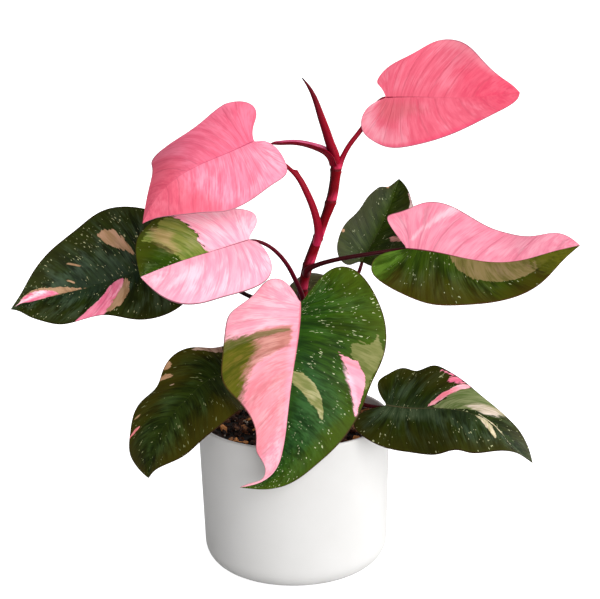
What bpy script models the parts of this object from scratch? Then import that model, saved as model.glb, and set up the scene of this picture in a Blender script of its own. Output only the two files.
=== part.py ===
"""Potted philodendron: ten heart-shaped leaves on a red stem, in a plain white pot.

Run with blender --background --python part.py. The scene is in metres with +Z up, and the shapes
below are given in millimetres. The origin is the centre of the pot's foot, +X runs to the right of
the plant's front view and +Y to its back.
"""

import math
from dataclasses import dataclass

import bmesh
import bpy
import numpy as np
from mathutils import Euler, Vector, noise

MM = 0.001

# Pot, in millimetres
POT_HEIGHT = 119.0
POT_RIM_RADIUS = 75.0
POT_FOOT_RADIUS = 71.6  # of the straight side, carried down to the floor
POT_WALL = 3.0
POT_EDGE_RADIUS = 18.8  # round between the side and the foot
POT_FLOOR = 5.0
POT_SEGMENTS = 48
ARC_STEPS = 5

# Soil, in millimetres
SOIL_TOP = 108.0
SOIL_MOUND = 2.0
SOIL_ROUGHNESS = 1.2
SOIL_GRAIN = 7.0
SOIL_RINGS = 5
STEM_HOLE_DEPTH = 18.0
CHIP_COUNT = 26
CHIP_SIZE = (9.0, 6.5, 3.4)
CHIP_RISE = 0.6
CHIP_SIZE_MIDDLE = 0.8  # share of CHIP_SIZE
CHIP_SIZE_SPREAD = 0.35
CHIP_TILT = 20.0  # degrees either way
CHIP_TURN = 97.0  # degrees from one chip to the next
CHIP_CLEAR_OF_STEM = 12.0
CHIP_CLEAR_OF_WALL = 8.0

# Clearance between touching pieces, and the thickness of the blades, in millimetres
GAP = 0.3
BLADE_THICKNESS = 0.8

# How finely the leaves and tubes are divided
BLADE_ROWS = 22
BLADE_COLUMNS = 3
MIDRIB_SAMPLES = 121
STALK_POINTS = 13
STEM_POINTS = 26
TUBE_RESOLUTION = 2

# How every blade runs from its midrib to its margin
CURL_WIDTH = 45.0  # millimetres over which a blade's curl is given
MARGIN_SHIFT = 0.35  # of a wave, from the left margin to the right one
RIB_EVEN = 0.02  # lateral rows start on the midrib at RIB_EVEN * row + RIB_LATE * row**RIB_POWER,
RIB_LATE = 0.965  # so that they fan out from the junction as the lateral veins do
RIB_POWER = 2.4
BEND_ALONG = 0.25  # where a lateral row bends, as shares of its way to the margin
BEND_ACROSS = 0.55

# Distances within which loose points are joined, in millimetres
WELD_BLADE = 0.02
WELD_TUBE = 0.01
WELD_TURNED = 0.05

# Stem from the bottom of its hole to the top node: place and radius, in millimetres
STEM_LINE = (
    (0, 0, 92), (0, 0, 108), (0.6, 0, 130), (2.4, 0, 160), (5.2, 0, 190), (8.2, 0, 215),
    (10.8, 0, 231), (14.2, 0, 242), (20.4, 0, 259), (27, 0, 277), (31, 0, 288), (34.5, 0, 305),
    (36, 0, 319),
)
STEM_RADII = (4.6, 4.7, 4.5, 4.3, 4.1, 3.8, 3.7, 4.2, 3.8, 3.5, 4.1, 3.9, 4.3)

# Rolled new leaf above the top node
SPIKE_LINE = (
    (35.6, 0, 317), (34.4, -0.5, 325), (32, -1, 332), (28.6, -2, 343), (25, -3, 354),
    (20.4, -4, 368), (16.6, -4.5, 376), (11, -5, 384),
)
SPIKE_RADII = (3.4, 3.5, 3.3, 3.0, 2.6, 1.9, 1.3, 0.4)
SPIKE_POINTS = 15


@dataclass(frozen=True)
class Finish:
    """Colour, roughness and metallic value of one kind of surface."""

    colour: tuple
    roughness: float
    metallic: float = 0.0


@dataclass(frozen=True)
class Sheet:
    """A blade bent along its midrib, in millimetres and degrees.

    The outlines run from the junction round each half to the tip. Each point is a share of the
    midrib's length and a distance from the midrib. Fold lifts each half from the junction to the
    tip, curl bends it over CURL_WIDTH, and wave is the margin's height, count and phase. Left and
    right are as seen with the upper face forward and the tip down.
    """

    finish: str
    midrib: tuple
    facing: tuple
    left: tuple
    right: tuple
    fold: tuple
    curl: tuple
    wave: tuple = (0.0, 1.0, 0.0)


@dataclass(frozen=True)
class Stalk:
    """A petiole: its line from inside the stem to the junction, and its two end radii."""

    line: tuple
    radii: tuple


FINISHES = {
    "pot_white": Finish((0.86, 0.85, 0.84), 0.38),
    "soil_dark": Finish((0.055, 0.035, 0.025), 0.95),
    "stem_crimson": Finish((0.42, 0.012, 0.03), 0.35),
    "petiole_maroon": Finish((0.17, 0.008, 0.02), 0.33),
    "leaf_pink": Finish((0.82, 0.27, 0.34), 0.42),
    "leaf_half_pink": Finish((0.50, 0.27, 0.20), 0.40),
    "leaf_green": Finish((0.035, 0.075, 0.012), 0.36),
    "leaf_olive": Finish((0.10, 0.085, 0.03), 0.42),
}

LEAVES = {
    "leaf_01": Sheet(
        "leaf_pink",
        ((-25, -14, 339), (-45, -24, 332), (-75, -37, 321), (-95, -46, 306), (-107, -49, 286)),
        ((-0.35, -0.8, 0.5), (-0.45, -0.75, 0.45)),
        ((0, 1), (-.03, 8), (-.12, 18), (-.15, 28), (-.11, 37), (-.01, 42), (.14, 41), (.34, 38),
         (.5, 37), (.61, 39), (.66, 36), (.71, 25), (.83, 9), (1, 0)),
        ((0, 1), (-.06, 4), (-.1, 12), (-.1, 24), (-.06, 31), (.05, 36), (.21, 41), (.38, 42),
         (.6, 37), (.8, 24), (.93, 7), (1, 0)),
        ((10, 0), (-12, 0), (-20, -5)),
        (-25, -20),
        (0.8, 2.5, 0.1),
    ),
    "leaf_02": Sheet(
        "leaf_pink",
        ((73, 2, 367), (98, -12, 369), (122, -24, 370), (148, -36, 373), (167, -44, 376)),
        ((0.1, -0.95, 0.35), (0.1, -0.95, 0.4)),
        ((0, 1), (-.06, 3), (-.13, 8), (-.17, 17), (-.15, 26), (-.07, 33), (.05, 38), (.21, 38),
         (.43, 32), (.65, 22), (.85, 13), (.95, 8), (.99, 4), (1, 0)),
        ((0, 1), (-.02, 6), (-.07, 11), (-.04, 18), (.06, 26), (.2, 34), (.34, 44), (.5, 44),
         (.62, 38), (.75, 25), (.88, 12), (.96, 5), (1, 0)),
        ((10, 10), (10, 10)),
        (-25, -25),
        (0.8, 2.0, 0.4),
    ),
    "leaf_03": Sheet(
        "leaf_half_pink",
        ((-30, -26, 267), (-52, -42, 264), (-79, -60, 260), (-99, -70, 255), (-108, -73, 252)),
        ((-0.2, -0.8, 0.6), (-0.3, -0.8, 0.5)),
        ((0, 1), (-.04, 4), (-.13, 10), (-.17, 18), (-.09, 27), (.01, 31), (.3, 40), (.5, 42),
         (.72, 37), (.87, 29), (.96, 15), (1, 0)),
        ((0, 1), (-.03, 4), (-.05, 14), (-.03, 26), (.03, 34), (.15, 39), (.31, 40), (.52, 38),
         (.71, 36), (.83, 31), (.92, 21), (.97, 10), (1, 0)),
        ((10, 10), (0, 5)),
        (-25, -25),
        (0.7, 2.5, -0.15),
    ),
    "leaf_04": Sheet(
        "leaf_green",
        ((-95, 14, 242), (-122, 6, 234), (-164, -3, 224), (-210, -10, 214), (-214, -11, 212)),
        ((-0.15, -0.95, 0.35), (-0.2, -0.95, 0.35)),
        ((0, 1), (-.06, 6), (-.12, 16), (-.11, 30), (-.02, 42), (.1, 51), (.25, 55), (.48, 47),
         (.67, 36), (.82, 19), (.92, 6), (1, 0)),
        ((0, 1), (-.05, 6), (-.1, 18), (-.06, 36), (.04, 45), (.17, 47), (.32, 41), (.47, 29),
         (.6, 28), (.7, 28), (.82, 22), (.91, 14), (.97, 4), (1, 0)),
        ((10, 40), (10, 30)),
        (-20, -25),
        (0.9, 2.5, 0.2),
    ),
    "leaf_05": Sheet(
        "leaf_half_pink",
        ((7, -50, 225), (5, -67, 206), (0, -82, 178), (-4, -90, 150), (-8, -94, 125),
         (-14, -96, 110), (-24, -97, 102), (-40, -97, 98)),
        ((0, -0.75, 0.65), (-0.05, -1, 0.3), (-0.3, -1, 0.05)),
        ((0, 1), (-.03, 4), (-.07, 9), (-.1, 17), (-.09, 25), (-.02, 34), (.05, 45), (.1, 52),
         (.17, 54), (.33, 53), (.43, 50), (.5, 38), (.58, 26), (.66, 21), (.76, 18), (.82, 10),
         (.88, 2), (.95, 1.5), (1, 0)),
        ((0, 1), (-.04, 5), (-.1, 11), (-.16, 18), (-.2, 30), (-.19, 40), (-.14, 50), (-.06, 59),
         (.04, 66), (.16, 68), (.33, 61), (.47, 56), (.58, 48), (.72, 29), (.83, 13), (.94, 3),
         (1, 0)),
        ((20, 5), (15, 0), (0, 0)),
        (-25, -25),
        (1.0, 2.5, 0.3),
    ),
    "leaf_06": Sheet(
        "leaf_half_pink",
        ((87, -14, 255), (107, -22, 254), (144, -35, 249), (169, -42, 251), (193, -48, 259),
         (212, -51, 264)),
        ((0.1, -0.85, 0.55), (0.1, -0.8, 0.65)),
        ((0, 1), (-.1, 5), (-.16, 11), (-.17, 20), (-.08, 31), (.06, 38), (.26, 41), (.42, 36),
         (.6, 29), (.77, 19), (.9, 8), (1, 0)),
        ((0, 1), (-.1, 14), (-.14, 24), (-.1, 27), (-.02, 33), (.05, 39), (.13, 41), (.25, 37),
         (.43, 29), (.61, 23), (.78, 16), (.9, 13), (.96, 7), (1, 0)),
        ((10, 10), (0, 0)),
        (-20, -20),
        (0.9, 2.5, 0.6),
    ),
    "leaf_07": Sheet(
        "leaf_green",
        ((55, 24, 235), (63, 44, 243), (71.5, 65, 251.5), (80, 86, 263.5), (85.5, 99, 273),
         (89.5, 108, 283)),
        ((.1, -.7, .7), (.1, -.75, .6)),
        ((0, 1), (-.04, 6), (-.08, 13), (-.06, 22), (.04, 29), (.23, 32), (.44, 30), (.61, 26),
         (.75, 19), (.86, 13), (.94, 7), (1, 0)),
        ((0, 1), (-.08, 5), (-.16, 11), (-.17, 17), (-.12, 23), (0, 27), (.15, 28), (.3, 26),
         (.46, 24), (.62, 22), (.75, 18), (.83, 14), (.88, 8), (.94, 4), (1, 0)),
        ((38, 38), (38, 38), (30, 30)),
        (-20, -20),
        (0.5, 2.5, 0.0),
    ),
    "leaf_08": Sheet(
        "leaf_green",
        ((-44, -34, 166), (-62, -46, 165), (-78, -60, 155), (-98, -74, 134), (-108, -80, 100)),
        ((-0.3, -0.75, 0.65), (-0.6, -0.75, 0.4)),
        ((0, 1), (-.06, 5), (-.12, 14), (-.08, 22), (.08, 24), (.22, 34), (.32, 33), (.47, 28),
         (.62, 30), (.77, 26), (.9, 24), (.97, 12), (1, 0)),
        ((0, 1), (-.06, 6), (-.12, 16), (-.08, 28), (.1, 36), (.3, 38), (.5, 36), (.64, 32),
         (.78, 25), (.88, 13), (.95, 4), (1, 0)),
        ((15, 10), (0, 0)),
        (-20, -20),
        (1.8, 3.0, 0.1),
    ),
    "leaf_09": Sheet(
        "leaf_green",
        ((70, -38, 139), (86, -46, 139), (120, -63, 143), (141, -73, 138), (162, -80, 120),
         (176, -82, 107)),
        ((0.1, -0.7, 0.7), (0.5, -0.6, 0.6)),
        ((0, 1), (-.06, 6), (-.12, 14), (-.12, 26), (-.04, 35), (.1, 40), (.27, 41), (.5, 41),
         (.66, 31), (.78, 15), (.9, 3), (1, 0)),
        ((0, 1), (-.05, 7), (-.08, 16), (-.03, 24), (.05, 31), (.15, 33), (.25, 37), (.33, 34),
         (.42, 28), (.52, 22), (.62, 18), (.74, 16), (.85, 16), (.93, 12), (1, 0)),
        ((20, 20), (10, 0), (0, -10)),
        (-20, -20),
        (1.6, 3.0, 0.5),
    ),
    "leaf_10": Sheet(
        "leaf_olive",
        ((13, 26, 198), (15, 44, 209), (16, 66, 214), (16, 88, 210)),
        ((-0.1, -0.3, 0.95), (-0.1, -0.1, 1)),
        ((0, 1), (-.12, 6), (-.17, 14), (-.08, 25), (.15, 35), (.45, 34), (.72, 24), (.9, 9),
         (1, 0)),
        ((0, 1), (-.12, 6), (-.17, 13), (-.08, 18), (.15, 20), (.45, 19), (.72, 14), (.9, 6),
         (1, 0)),
        ((0, 0), (-10, -5)),
        (-50, -60),
        (0.9, 3.0, 0.1),
    ),
}

STALKS = {
    "leaf_01": Stalk(
        ((20, -1, 256), (20.6, -7, 267.5), (17.8, -8.5, 284), (11.8, -9.5, 300), (5.8, -9, 311),
         (-1, -8, 318), (-12, -9, 328), (-22, -11.5, 336.5)),
        (2.5, 1.3),
    ),
    "leaf_02": Stalk(
        ((36.5, 0, 313), (40, 0.5, 321.5), (46, 2, 332), (55, 5, 343), (63, 7, 356),
         (71.5, 4.5, 365.5)),
        (2.1, 1.4),
    ),
    "leaf_03": Stalk(
        ((5.5, -1, 190), (9.2, -7, 202), (9.4, -8.5, 212), (3.8, -10, 230), (-2.6, -14, 244),
         (-9.4, -18, 254), (-19, -22, 262.5), (-28, -24.3, 265.6)),
        (2.2, 1.4),
    ),
    "leaf_04": Stalk(
        ((3.2, 1, 172), (-2, 6, 191), (-14, 7, 205), (-31, 7, 213.4), (-42, 8, 219), (-62, 11, 229),
         (-82, 14.5, 237), (-93, 16.2, 241)),
        (2.1, 1.3),
    ),
    "leaf_05": Stalk(
        ((2.4, -1, 156), (2.5, -10, 177), (3.8, -22, 202), (5.5, -36, 218), (7, -47.5, 222.8)),
        (2.5, 1.5),
    ),
    "leaf_06": Stalk(
        ((11.8, -1, 232), (12.4, -6.5, 237.5), (18, -8, 241), (27, -9, 244.2), (45, -10.5, 248.2),
         (60, -11, 250.5), (72, -10.5, 252), (85.5, -11, 253.4)),
        (2.3, 1.4),
    ),
    "leaf_07": Stalk(
        ((3, 1, 164), (10, 7, 186), (23, 13, 203), (39, 17, 214), (50, 21, 222.5),
         (54.8, 25.4, 232.4)),
        (2.3, 1.4),
    ),
    "leaf_08": Stalk(
        ((0.6, -1, 124), (-6, -8, 140), (-17, -17, 154), (-30, -25, 162), (-42, -31.5, 163.8)),
        (2.3, 1.4),
    ),
    "leaf_09": Stalk(
        ((0.4, -1, 120), (11, -7, 131), (28, -17, 138), (46, -27.5, 138.5), (60, -34, 136.5),
         (68.5, -36.3, 136.6)),
        (2.3, 1.4),
    ),
    "leaf_10": Stalk(
        ((1.8, 1, 146), (4.5, 9, 163), (9.5, 18, 182), (12.8, 25.5, 195)),
        (2.2, 1.3),
    ),
}

# Opened sheath of the last leaf, a folded strip with its hollow side up
CATAPHYLL = Sheet(
    "stem_crimson",
    ((31, -0.5, 316.5), (29.6, -1, 321.5), (26.6, -1, 325.2), (21, -1, 328.4), (11, -1, 332),
     (1, -0.5, 333.3), (-7, 0, 333.2), (-13.5, 1, 333.8)),
    ((1, 0, 0.5), (0.3, -0.2, 1), (0, -0.1, 1)),
    ((0, 6.5), (.2, 6.2), (.34, 5.2), (.5, 4.2), (.75, 3.5), (.88, 2.9), (.96, 1.7), (1, 0)),
    ((0, 6.5), (.2, 6.2), (.34, 5.2), (.5, 4.2), (.75, 3.5), (.88, 2.9), (.96, 1.7), (1, 0)),
    ((42, 42), (48, 48), (40, 40)),
    (60, 60),
)


def clear_scene():
    """Removes every object that the scene starts with."""
    for obj in list(bpy.data.objects):
        bpy.data.objects.remove(obj, do_unlink=True)


def new_collection(name):
    """Returns a new collection under the scene's own."""
    collection = bpy.data.collections.new(name)
    bpy.context.scene.collection.children.link(collection)
    return collection


def material(name):
    """Returns the Principled material of a named finish, made at its first use."""
    found = bpy.data.materials.get(name)
    if found:
        return found
    finish = FINISHES[name]
    made = bpy.data.materials.new(name)
    made.use_nodes = True
    shader = made.node_tree.nodes["Principled BSDF"]
    shader.inputs["Base Color"].default_value = (*finish.colour, 1.0)
    shader.inputs["Roughness"].default_value = finish.roughness
    shader.inputs["Metallic"].default_value = finish.metallic
    made.diffuse_color = (*finish.colour, 1.0)
    return made


def add_object(name, data, collection, finish=None, parent=None):
    """Links a new object for the data, with its finish and parent."""
    obj = bpy.data.objects.new(name, data)
    collection.objects.link(obj)
    obj.parent = parent
    if finish:
        data.materials.append(material(finish))
    return obj


def natural_spline(points, count):
    """Returns count points, evenly spaced, on the natural cubic through the given points."""
    given = np.asarray(points, float)
    knots = np.concatenate([[0], np.cumsum(np.linalg.norm(np.diff(given, axis=0), axis=1))])
    steps = np.diff(knots)
    size = len(given)
    matrix = np.zeros((size, size))
    target = np.zeros(given.shape)
    matrix[0, 0] = matrix[-1, -1] = 1
    slopes = np.diff(given, axis=0) / steps[:, None]
    for i in range(1, size - 1):
        matrix[i, i - 1 : i + 2] = steps[i - 1], 2 * (steps[i - 1] + steps[i]), steps[i]
        target[i] = 6 * (slopes[i] - slopes[i - 1])
    bends = np.linalg.solve(matrix, target)
    at = np.linspace(0, knots[-1], count)
    i = np.clip(np.searchsorted(knots, at, side="right") - 1, 0, size - 2)
    span = steps[i][:, None]
    before = (knots[i + 1] - at)[:, None]
    after = (at - knots[i])[:, None]
    cubic = (bends[i] * before**3 + bends[i + 1] * after**3) / (6 * span)
    first = (given[i] / span - bends[i] * span / 6) * before
    last = (given[i + 1] / span - bends[i + 1] * span / 6) * after
    return cubic + first + last


def unit(vectors):
    """Returns the rows of an array, each scaled to length one."""
    return vectors / np.linalg.norm(vectors, axis=-1, keepdims=True)


class BentSheet:
    """Places on a flat half blade, turned into points of the bent one."""

    def __init__(self, sheet):
        self.sheet = sheet
        self.line = natural_spline(sheet.midrib, MIDRIB_SAMPLES)
        steps = np.linalg.norm(np.diff(self.line, axis=0), axis=1)
        self.at = np.concatenate([[0], np.cumsum(steps)])
        self.length = self.at[-1]
        self.tangent = unit(np.gradient(self.line, self.at, axis=0))
        facing = unit(np.asarray(sheet.facing, float))
        stations = np.linspace(0, self.length, len(facing))
        normal = np.stack([np.interp(self.at, stations, axis) for axis in facing.T], 1)
        along = (normal * self.tangent).sum(1)[:, None]
        self.normal = unit(normal - along * self.tangent)
        self.right = np.cross(self.normal, self.tangent)
        self.margins = {
            side: natural_spline(np.asarray(points, float) * (self.length, 1), BLADE_ROWS + 1)
            for side, points in ((-1, sheet.left), (1, sheet.right))
        }

    def sample(self, table, x):
        """Returns the table's vector at a distance along the midrib."""
        return np.array([np.interp(x, self.at, table[:, axis]) for axis in range(3)])

    def point(self, x, y, side, lift):
        """Returns the bent place of a point x along and y across the half on that side."""
        inside = min(max(x, 0.0), self.length)
        tangent = self.sample(self.tangent, inside)
        centre = self.sample(self.line, inside) + (x - inside) * tangent
        column = 0 if side < 0 else 1
        share = np.linspace(0, 1, len(self.sheet.fold))
        folds = [pair[column] for pair in self.sheet.fold]
        fold = math.radians(np.interp(inside / self.length, share, folds))
        bend = math.radians(self.sheet.curl[column]) / CURL_WIDTH
        across = (math.sin(fold + bend * y) - math.sin(fold)) / bend
        height = (math.cos(fold) - math.cos(fold + bend * y)) / bend
        right = self.sample(self.right, inside)
        normal = self.sample(self.normal, inside)
        return centre + side * across * right + (height + lift) * normal

    def blade_point(self, row, column):
        """Returns a point of the blade: row 0 to 1 along it, column -1 to 1 across it."""
        side = -1 if column < 0 else 1
        outer = self.margins[side][round(row * BLADE_ROWS)]
        rib = self.length * (RIB_EVEN * row + RIB_LATE * row**RIB_POWER)
        middle = np.array([rib + BEND_ALONG * (outer[0] - rib), BEND_ACROSS * outer[1]])
        share = abs(column)
        flat = np.array([rib, 0]) * (1 - share) ** 2 + 2 * middle * share * (1 - share)
        flat = flat + outer * share**2
        height, count, phase = self.sheet.wave
        turn = count * row + phase + (MARGIN_SHIFT if side > 0 else 0)
        fade = math.sqrt(max(math.sin(math.pi * row), 0.0))
        lift = height * share**2 * math.sin(2 * math.pi * turn) * fade
        return self.point(flat[0], max(flat[1], 0.0), side, lift)


def sheet_object(name, sheet, collection, parent):
    """Models a bent blade as a grid, split into triangles and then thickened."""
    bent = BentSheet(sheet)
    mesh = bpy.data.meshes.new(name)
    grid = bmesh.new()
    bmesh.ops.create_grid(grid, x_segments=2 * BLADE_COLUMNS, y_segments=BLADE_ROWS, size=1)
    for vert in grid.verts:
        row = (vert.co.y + 1) / 2
        vert.co = Vector(bent.blade_point(row, -vert.co.x)) * MM
    bmesh.ops.remove_doubles(grid, verts=grid.verts, dist=WELD_BLADE * MM)
    bmesh.ops.triangulate(grid, faces=grid.faces)
    grid.to_mesh(mesh)
    grid.free()
    mesh.shade_smooth()
    obj = add_object(name, mesh, collection, sheet.finish, parent)
    solid = obj.modifiers.new("thickness", "SOLIDIFY")
    solid.thickness = BLADE_THICKNESS * MM
    solid.offset = 0
    return obj


def tube(name, line, radii, count, collection, finish=None, parent=None):
    """Models a round stem as a bevelled curve through the line, with a radius at each point."""
    points = natural_spline(line, count)
    share = np.concatenate([[0], np.cumsum(np.linalg.norm(np.diff(line, axis=0), axis=1))])
    at = np.linspace(0, share[-1], count)
    stations = share if len(radii) == len(line) else np.linspace(0, share[-1], len(radii))
    sizes = np.interp(at, stations, radii)
    curve = bpy.data.curves.new(name, "CURVE")
    curve.dimensions = "3D"
    curve.bevel_depth = MM
    curve.bevel_resolution = TUBE_RESOLUTION
    curve.use_fill_caps = True
    spline = curve.splines.new("POLY")
    spline.points.add(count - 1)
    for point, place, size in zip(spline.points, points, sizes):
        point.co = (*(place * MM), 1)
        point.radius = size
    return add_object(name, curve, collection, finish, parent)


def as_mesh(obj):
    """Replaces a curve object by a closed mesh object of the same name."""
    graph = bpy.context.evaluated_depsgraph_get()
    mesh = bpy.data.meshes.new_from_object(obj.evaluated_get(graph))
    welded = bmesh.new()
    welded.from_mesh(mesh)
    bmesh.ops.remove_doubles(welded, verts=welded.verts, dist=WELD_TUBE * MM)
    bmesh.ops.recalc_face_normals(welded, faces=welded.faces)
    welded.to_mesh(mesh)
    welded.free()
    mesh.shade_smooth()
    name = obj.name
    collection = obj.users_collection[0]
    parent = obj.parent
    place = obj.matrix_world.copy()
    bpy.data.objects.remove(obj, do_unlink=True)
    mesh.name = name
    made = add_object(name, mesh, collection, None, parent)
    made.matrix_world = place
    return made


def cut(obj, cutters):
    """Takes each cutter away from the object."""
    for cutter in cutters:
        modifier = obj.modifiers.new("clear_" + cutter.name, "BOOLEAN")
        modifier.operation = "DIFFERENCE"
        modifier.solver = "EXACT"
        modifier.object = cutter


def clearance(name, line, radii, count, collection):
    """Makes a tube that is wider and longer by the gap, to cut its neighbours with."""
    wide = [radius + GAP for radius in radii]
    ends = np.asarray(line, float)
    ends[-1] += GAP * unit(ends[-1] - ends[-2])
    made = as_mesh(tube(name, ends, wide, count, collection))
    made.hide_render = True
    made.display_type = "WIRE"
    return made


def arc(centre, radius, start, end):
    """Returns points (r, z) on an arc between two angles in degrees, the first and last included."""
    angles = np.radians(np.linspace(start, end, ARC_STEPS + 1))
    return [(centre[0] + radius * math.cos(a), centre[1] + radius * math.sin(a)) for a in angles]


def turned(name, profile, collection, finish, parent):
    """Models a turned piece from its profile (r, z), which ends on the axis at both ends."""
    mesh = bpy.data.meshes.new(name)
    places = [(r * MM, 0, z * MM) for r, z in profile]
    mesh.from_pydata(places, [(i, i + 1) for i in range(len(places) - 1)], [])
    obj = add_object(name, mesh, collection, finish, parent)
    screw = obj.modifiers.new("turn", "SCREW")
    screw.steps = POT_SEGMENTS
    screw.render_steps = POT_SEGMENTS
    screw.use_merge_vertices = True
    screw.merge_threshold = WELD_TURNED * MM
    screw.use_smooth_shade = True
    return obj


def side_radius(z):
    """Returns the radius of the pot's straight outer side at a height."""
    return POT_FOOT_RADIUS + (POT_RIM_RADIUS - POT_FOOT_RADIUS) * z / POT_HEIGHT


def pot_profile():
    """Returns the pot's section, from the middle of its floor over the lip to the foot."""
    lip = POT_WALL / 2
    inner_edge = POT_EDGE_RADIUS - POT_WALL
    inner_low = POT_FLOOR + inner_edge
    inner_radius = side_radius(inner_low) - POT_WALL
    inside = arc((inner_radius - inner_edge, inner_low), inner_edge, -90, 0)
    rim = arc((POT_RIM_RADIUS - lip, POT_HEIGHT - lip), lip, 180, 0)
    edge_centre = (side_radius(POT_EDGE_RADIUS) - POT_EDGE_RADIUS, POT_EDGE_RADIUS)
    outside = arc(edge_centre, POT_EDGE_RADIUS, 0, -90)
    return [(0, POT_FLOOR), *inside, *rim, *outside, (0, 0)]


def build_pot(collection, parent):
    """Models the white pot as one turned shell."""
    return turned("pot", pot_profile(), collection, "pot_white", parent)


def soil_profile():
    """Returns the soil's section, from the stem's hole over the surface to the pot's floor."""
    hole = STEM_RADII[1] + GAP
    wall = side_radius(SOIL_TOP) - POT_WALL - GAP
    inner_edge = POT_EDGE_RADIUS - POT_WALL
    inner_low = POT_FLOOR + inner_edge
    low_radius = side_radius(inner_low) - POT_WALL - GAP
    surface = [(float(r), SOIL_TOP) for r in np.linspace(hole, wall, SOIL_RINGS + 1)]
    below = arc((low_radius - inner_edge, inner_low + GAP), inner_edge, 0, -90)
    bottom = SOIL_TOP - STEM_HOLE_DEPTH
    return [(0, bottom), (hole, bottom), *surface, *below, (0, POT_FLOOR + GAP)]


def soil_height(x, y):
    """Returns how far the soil's surface stands above its level: a low mound with crumbs."""
    reach = side_radius(SOIL_TOP) - POT_WALL
    away = math.hypot(x, y) / reach
    fade = max(1.0 - away**4, 0.0)
    crumbs = noise.noise(Vector((x, y, 0)) / SOIL_GRAIN)
    return fade * (SOIL_MOUND * (1 - away**2) + SOIL_ROUGHNESS * crumbs)


def chip_mesh():
    """Returns the bark chips as one mesh: turned blocks laid out on a sunflower spiral."""
    mesh = bpy.data.meshes.new("bark_chips")
    chips = bmesh.new()
    golden = math.pi * (3 - math.sqrt(5))
    first = CHIP_CLEAR_OF_STEM
    last = side_radius(SOIL_TOP) - POT_WALL - CHIP_CLEAR_OF_WALL
    tilt = math.radians(CHIP_TILT)
    for i in range(CHIP_COUNT):
        radius = math.sqrt(first**2 + (last**2 - first**2) * (i + 0.5) / CHIP_COUNT)
        x = radius * math.cos(i * golden)
        y = radius * math.sin(i * golden)
        shrink = noise.noise(Vector((x, y, 0)) / SOIL_GRAIN)
        size = CHIP_SIZE_MIDDLE + CHIP_SIZE_SPREAD * shrink
        block = bmesh.ops.create_cube(chips, size=1)["verts"]
        bmesh.ops.scale(chips, verts=block, vec=[edge * size for edge in CHIP_SIZE])
        turn = Euler((tilt * math.sin(3 * i), tilt * math.cos(5 * i), i * math.radians(CHIP_TURN)))
        bmesh.ops.rotate(chips, verts=block, matrix=turn.to_matrix())
        height = SOIL_TOP + soil_height(x, y) + CHIP_RISE
        bmesh.ops.translate(chips, verts=block, vec=(x, y, height))
    bmesh.ops.scale(chips, verts=chips.verts, vec=(MM, MM, MM))
    chips.to_mesh(mesh)
    chips.free()
    return mesh


def build_soil(collection, cutters, parent):
    """Models the soil: a turned fill with a rough top, a hole for the stem and its bark chips."""
    fill = turned("soil_fill", soil_profile(), collection, None, parent)
    soil = as_mesh(fill)
    soil.name = "soil"
    soil.data.materials.append(material("soil_dark"))
    wall = side_radius(SOIL_TOP) - POT_WALL - 2 * GAP
    hole = STEM_RADII[1] + 2 * GAP
    for vert in soil.data.vertices:
        x, y, z = vert.co / MM
        if z > SOIL_TOP - GAP and hole < math.hypot(x, y) < wall:
            vert.co.z += soil_height(x, y) * MM
    chips = add_object("bark_chips", chip_mesh(), cutters)
    chips.hide_render = True
    chips.display_type = "WIRE"
    join = soil.modifiers.new("join_chips", "BOOLEAN")
    join.operation = "UNION"
    join.solver = "EXACT"
    join.object = chips
    return soil


def build_plant(collection, cutters, parent):
    """Models the stem, its rolled new leaf and opened sheath, and the ten leaves."""
    tube("stem", STEM_LINE, STEM_RADII, STEM_POINTS, collection, "stem_crimson", parent)
    round_stem = clearance("stem_clearance", STEM_LINE, STEM_RADII, STEM_POINTS, cutters)
    round_spike = clearance("spike_clearance", SPIKE_LINE, SPIKE_RADII, SPIKE_POINTS, cutters)
    spike = tube(
        "new_leaf_spike", SPIKE_LINE, SPIKE_RADII, SPIKE_POINTS, collection, "stem_crimson", parent
    )
    cut(as_mesh(spike), [round_stem])
    sheath = sheet_object("cataphyll", CATAPHYLL, collection, parent)
    cut(sheath, [round_stem, round_spike])
    for name, sheet in LEAVES.items():
        sheet_object(name + "_blade", sheet, collection, parent)
        stalk = STALKS[name]
        petiole = tube(
            name + "_petiole", stalk.line, stalk.radii, STALK_POINTS, collection, "petiole_maroon", parent
        )
        cut(as_mesh(petiole), [round_stem, round_spike] if name == "leaf_02" else [round_stem])


def main():
    """Builds the whole potted plant."""
    clear_scene()
    parts = new_collection("potted_philodendron")
    cutters = new_collection("cutters")
    root = bpy.data.objects.new("potted_philodendron", None)
    parts.objects.link(root)
    build_pot(parts, root)
    build_soil(parts, cutters, root)
    build_plant(parts, cutters, root)


main()
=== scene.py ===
"""Potted philodendron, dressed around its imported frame.

The frame is in metres with +Z up, and its origin is the centre of the pot's foot. Sizes in this
file are millimetres unless a name says otherwise, and colours are screen colours from 0 to 255.
"""

import logging
import math
from collections.abc import Callable, Iterator
from contextlib import contextmanager
from dataclasses import dataclass
from enum import Enum

import bpy
import numpy as np
from mathutils import Matrix, Vector, noise


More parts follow.
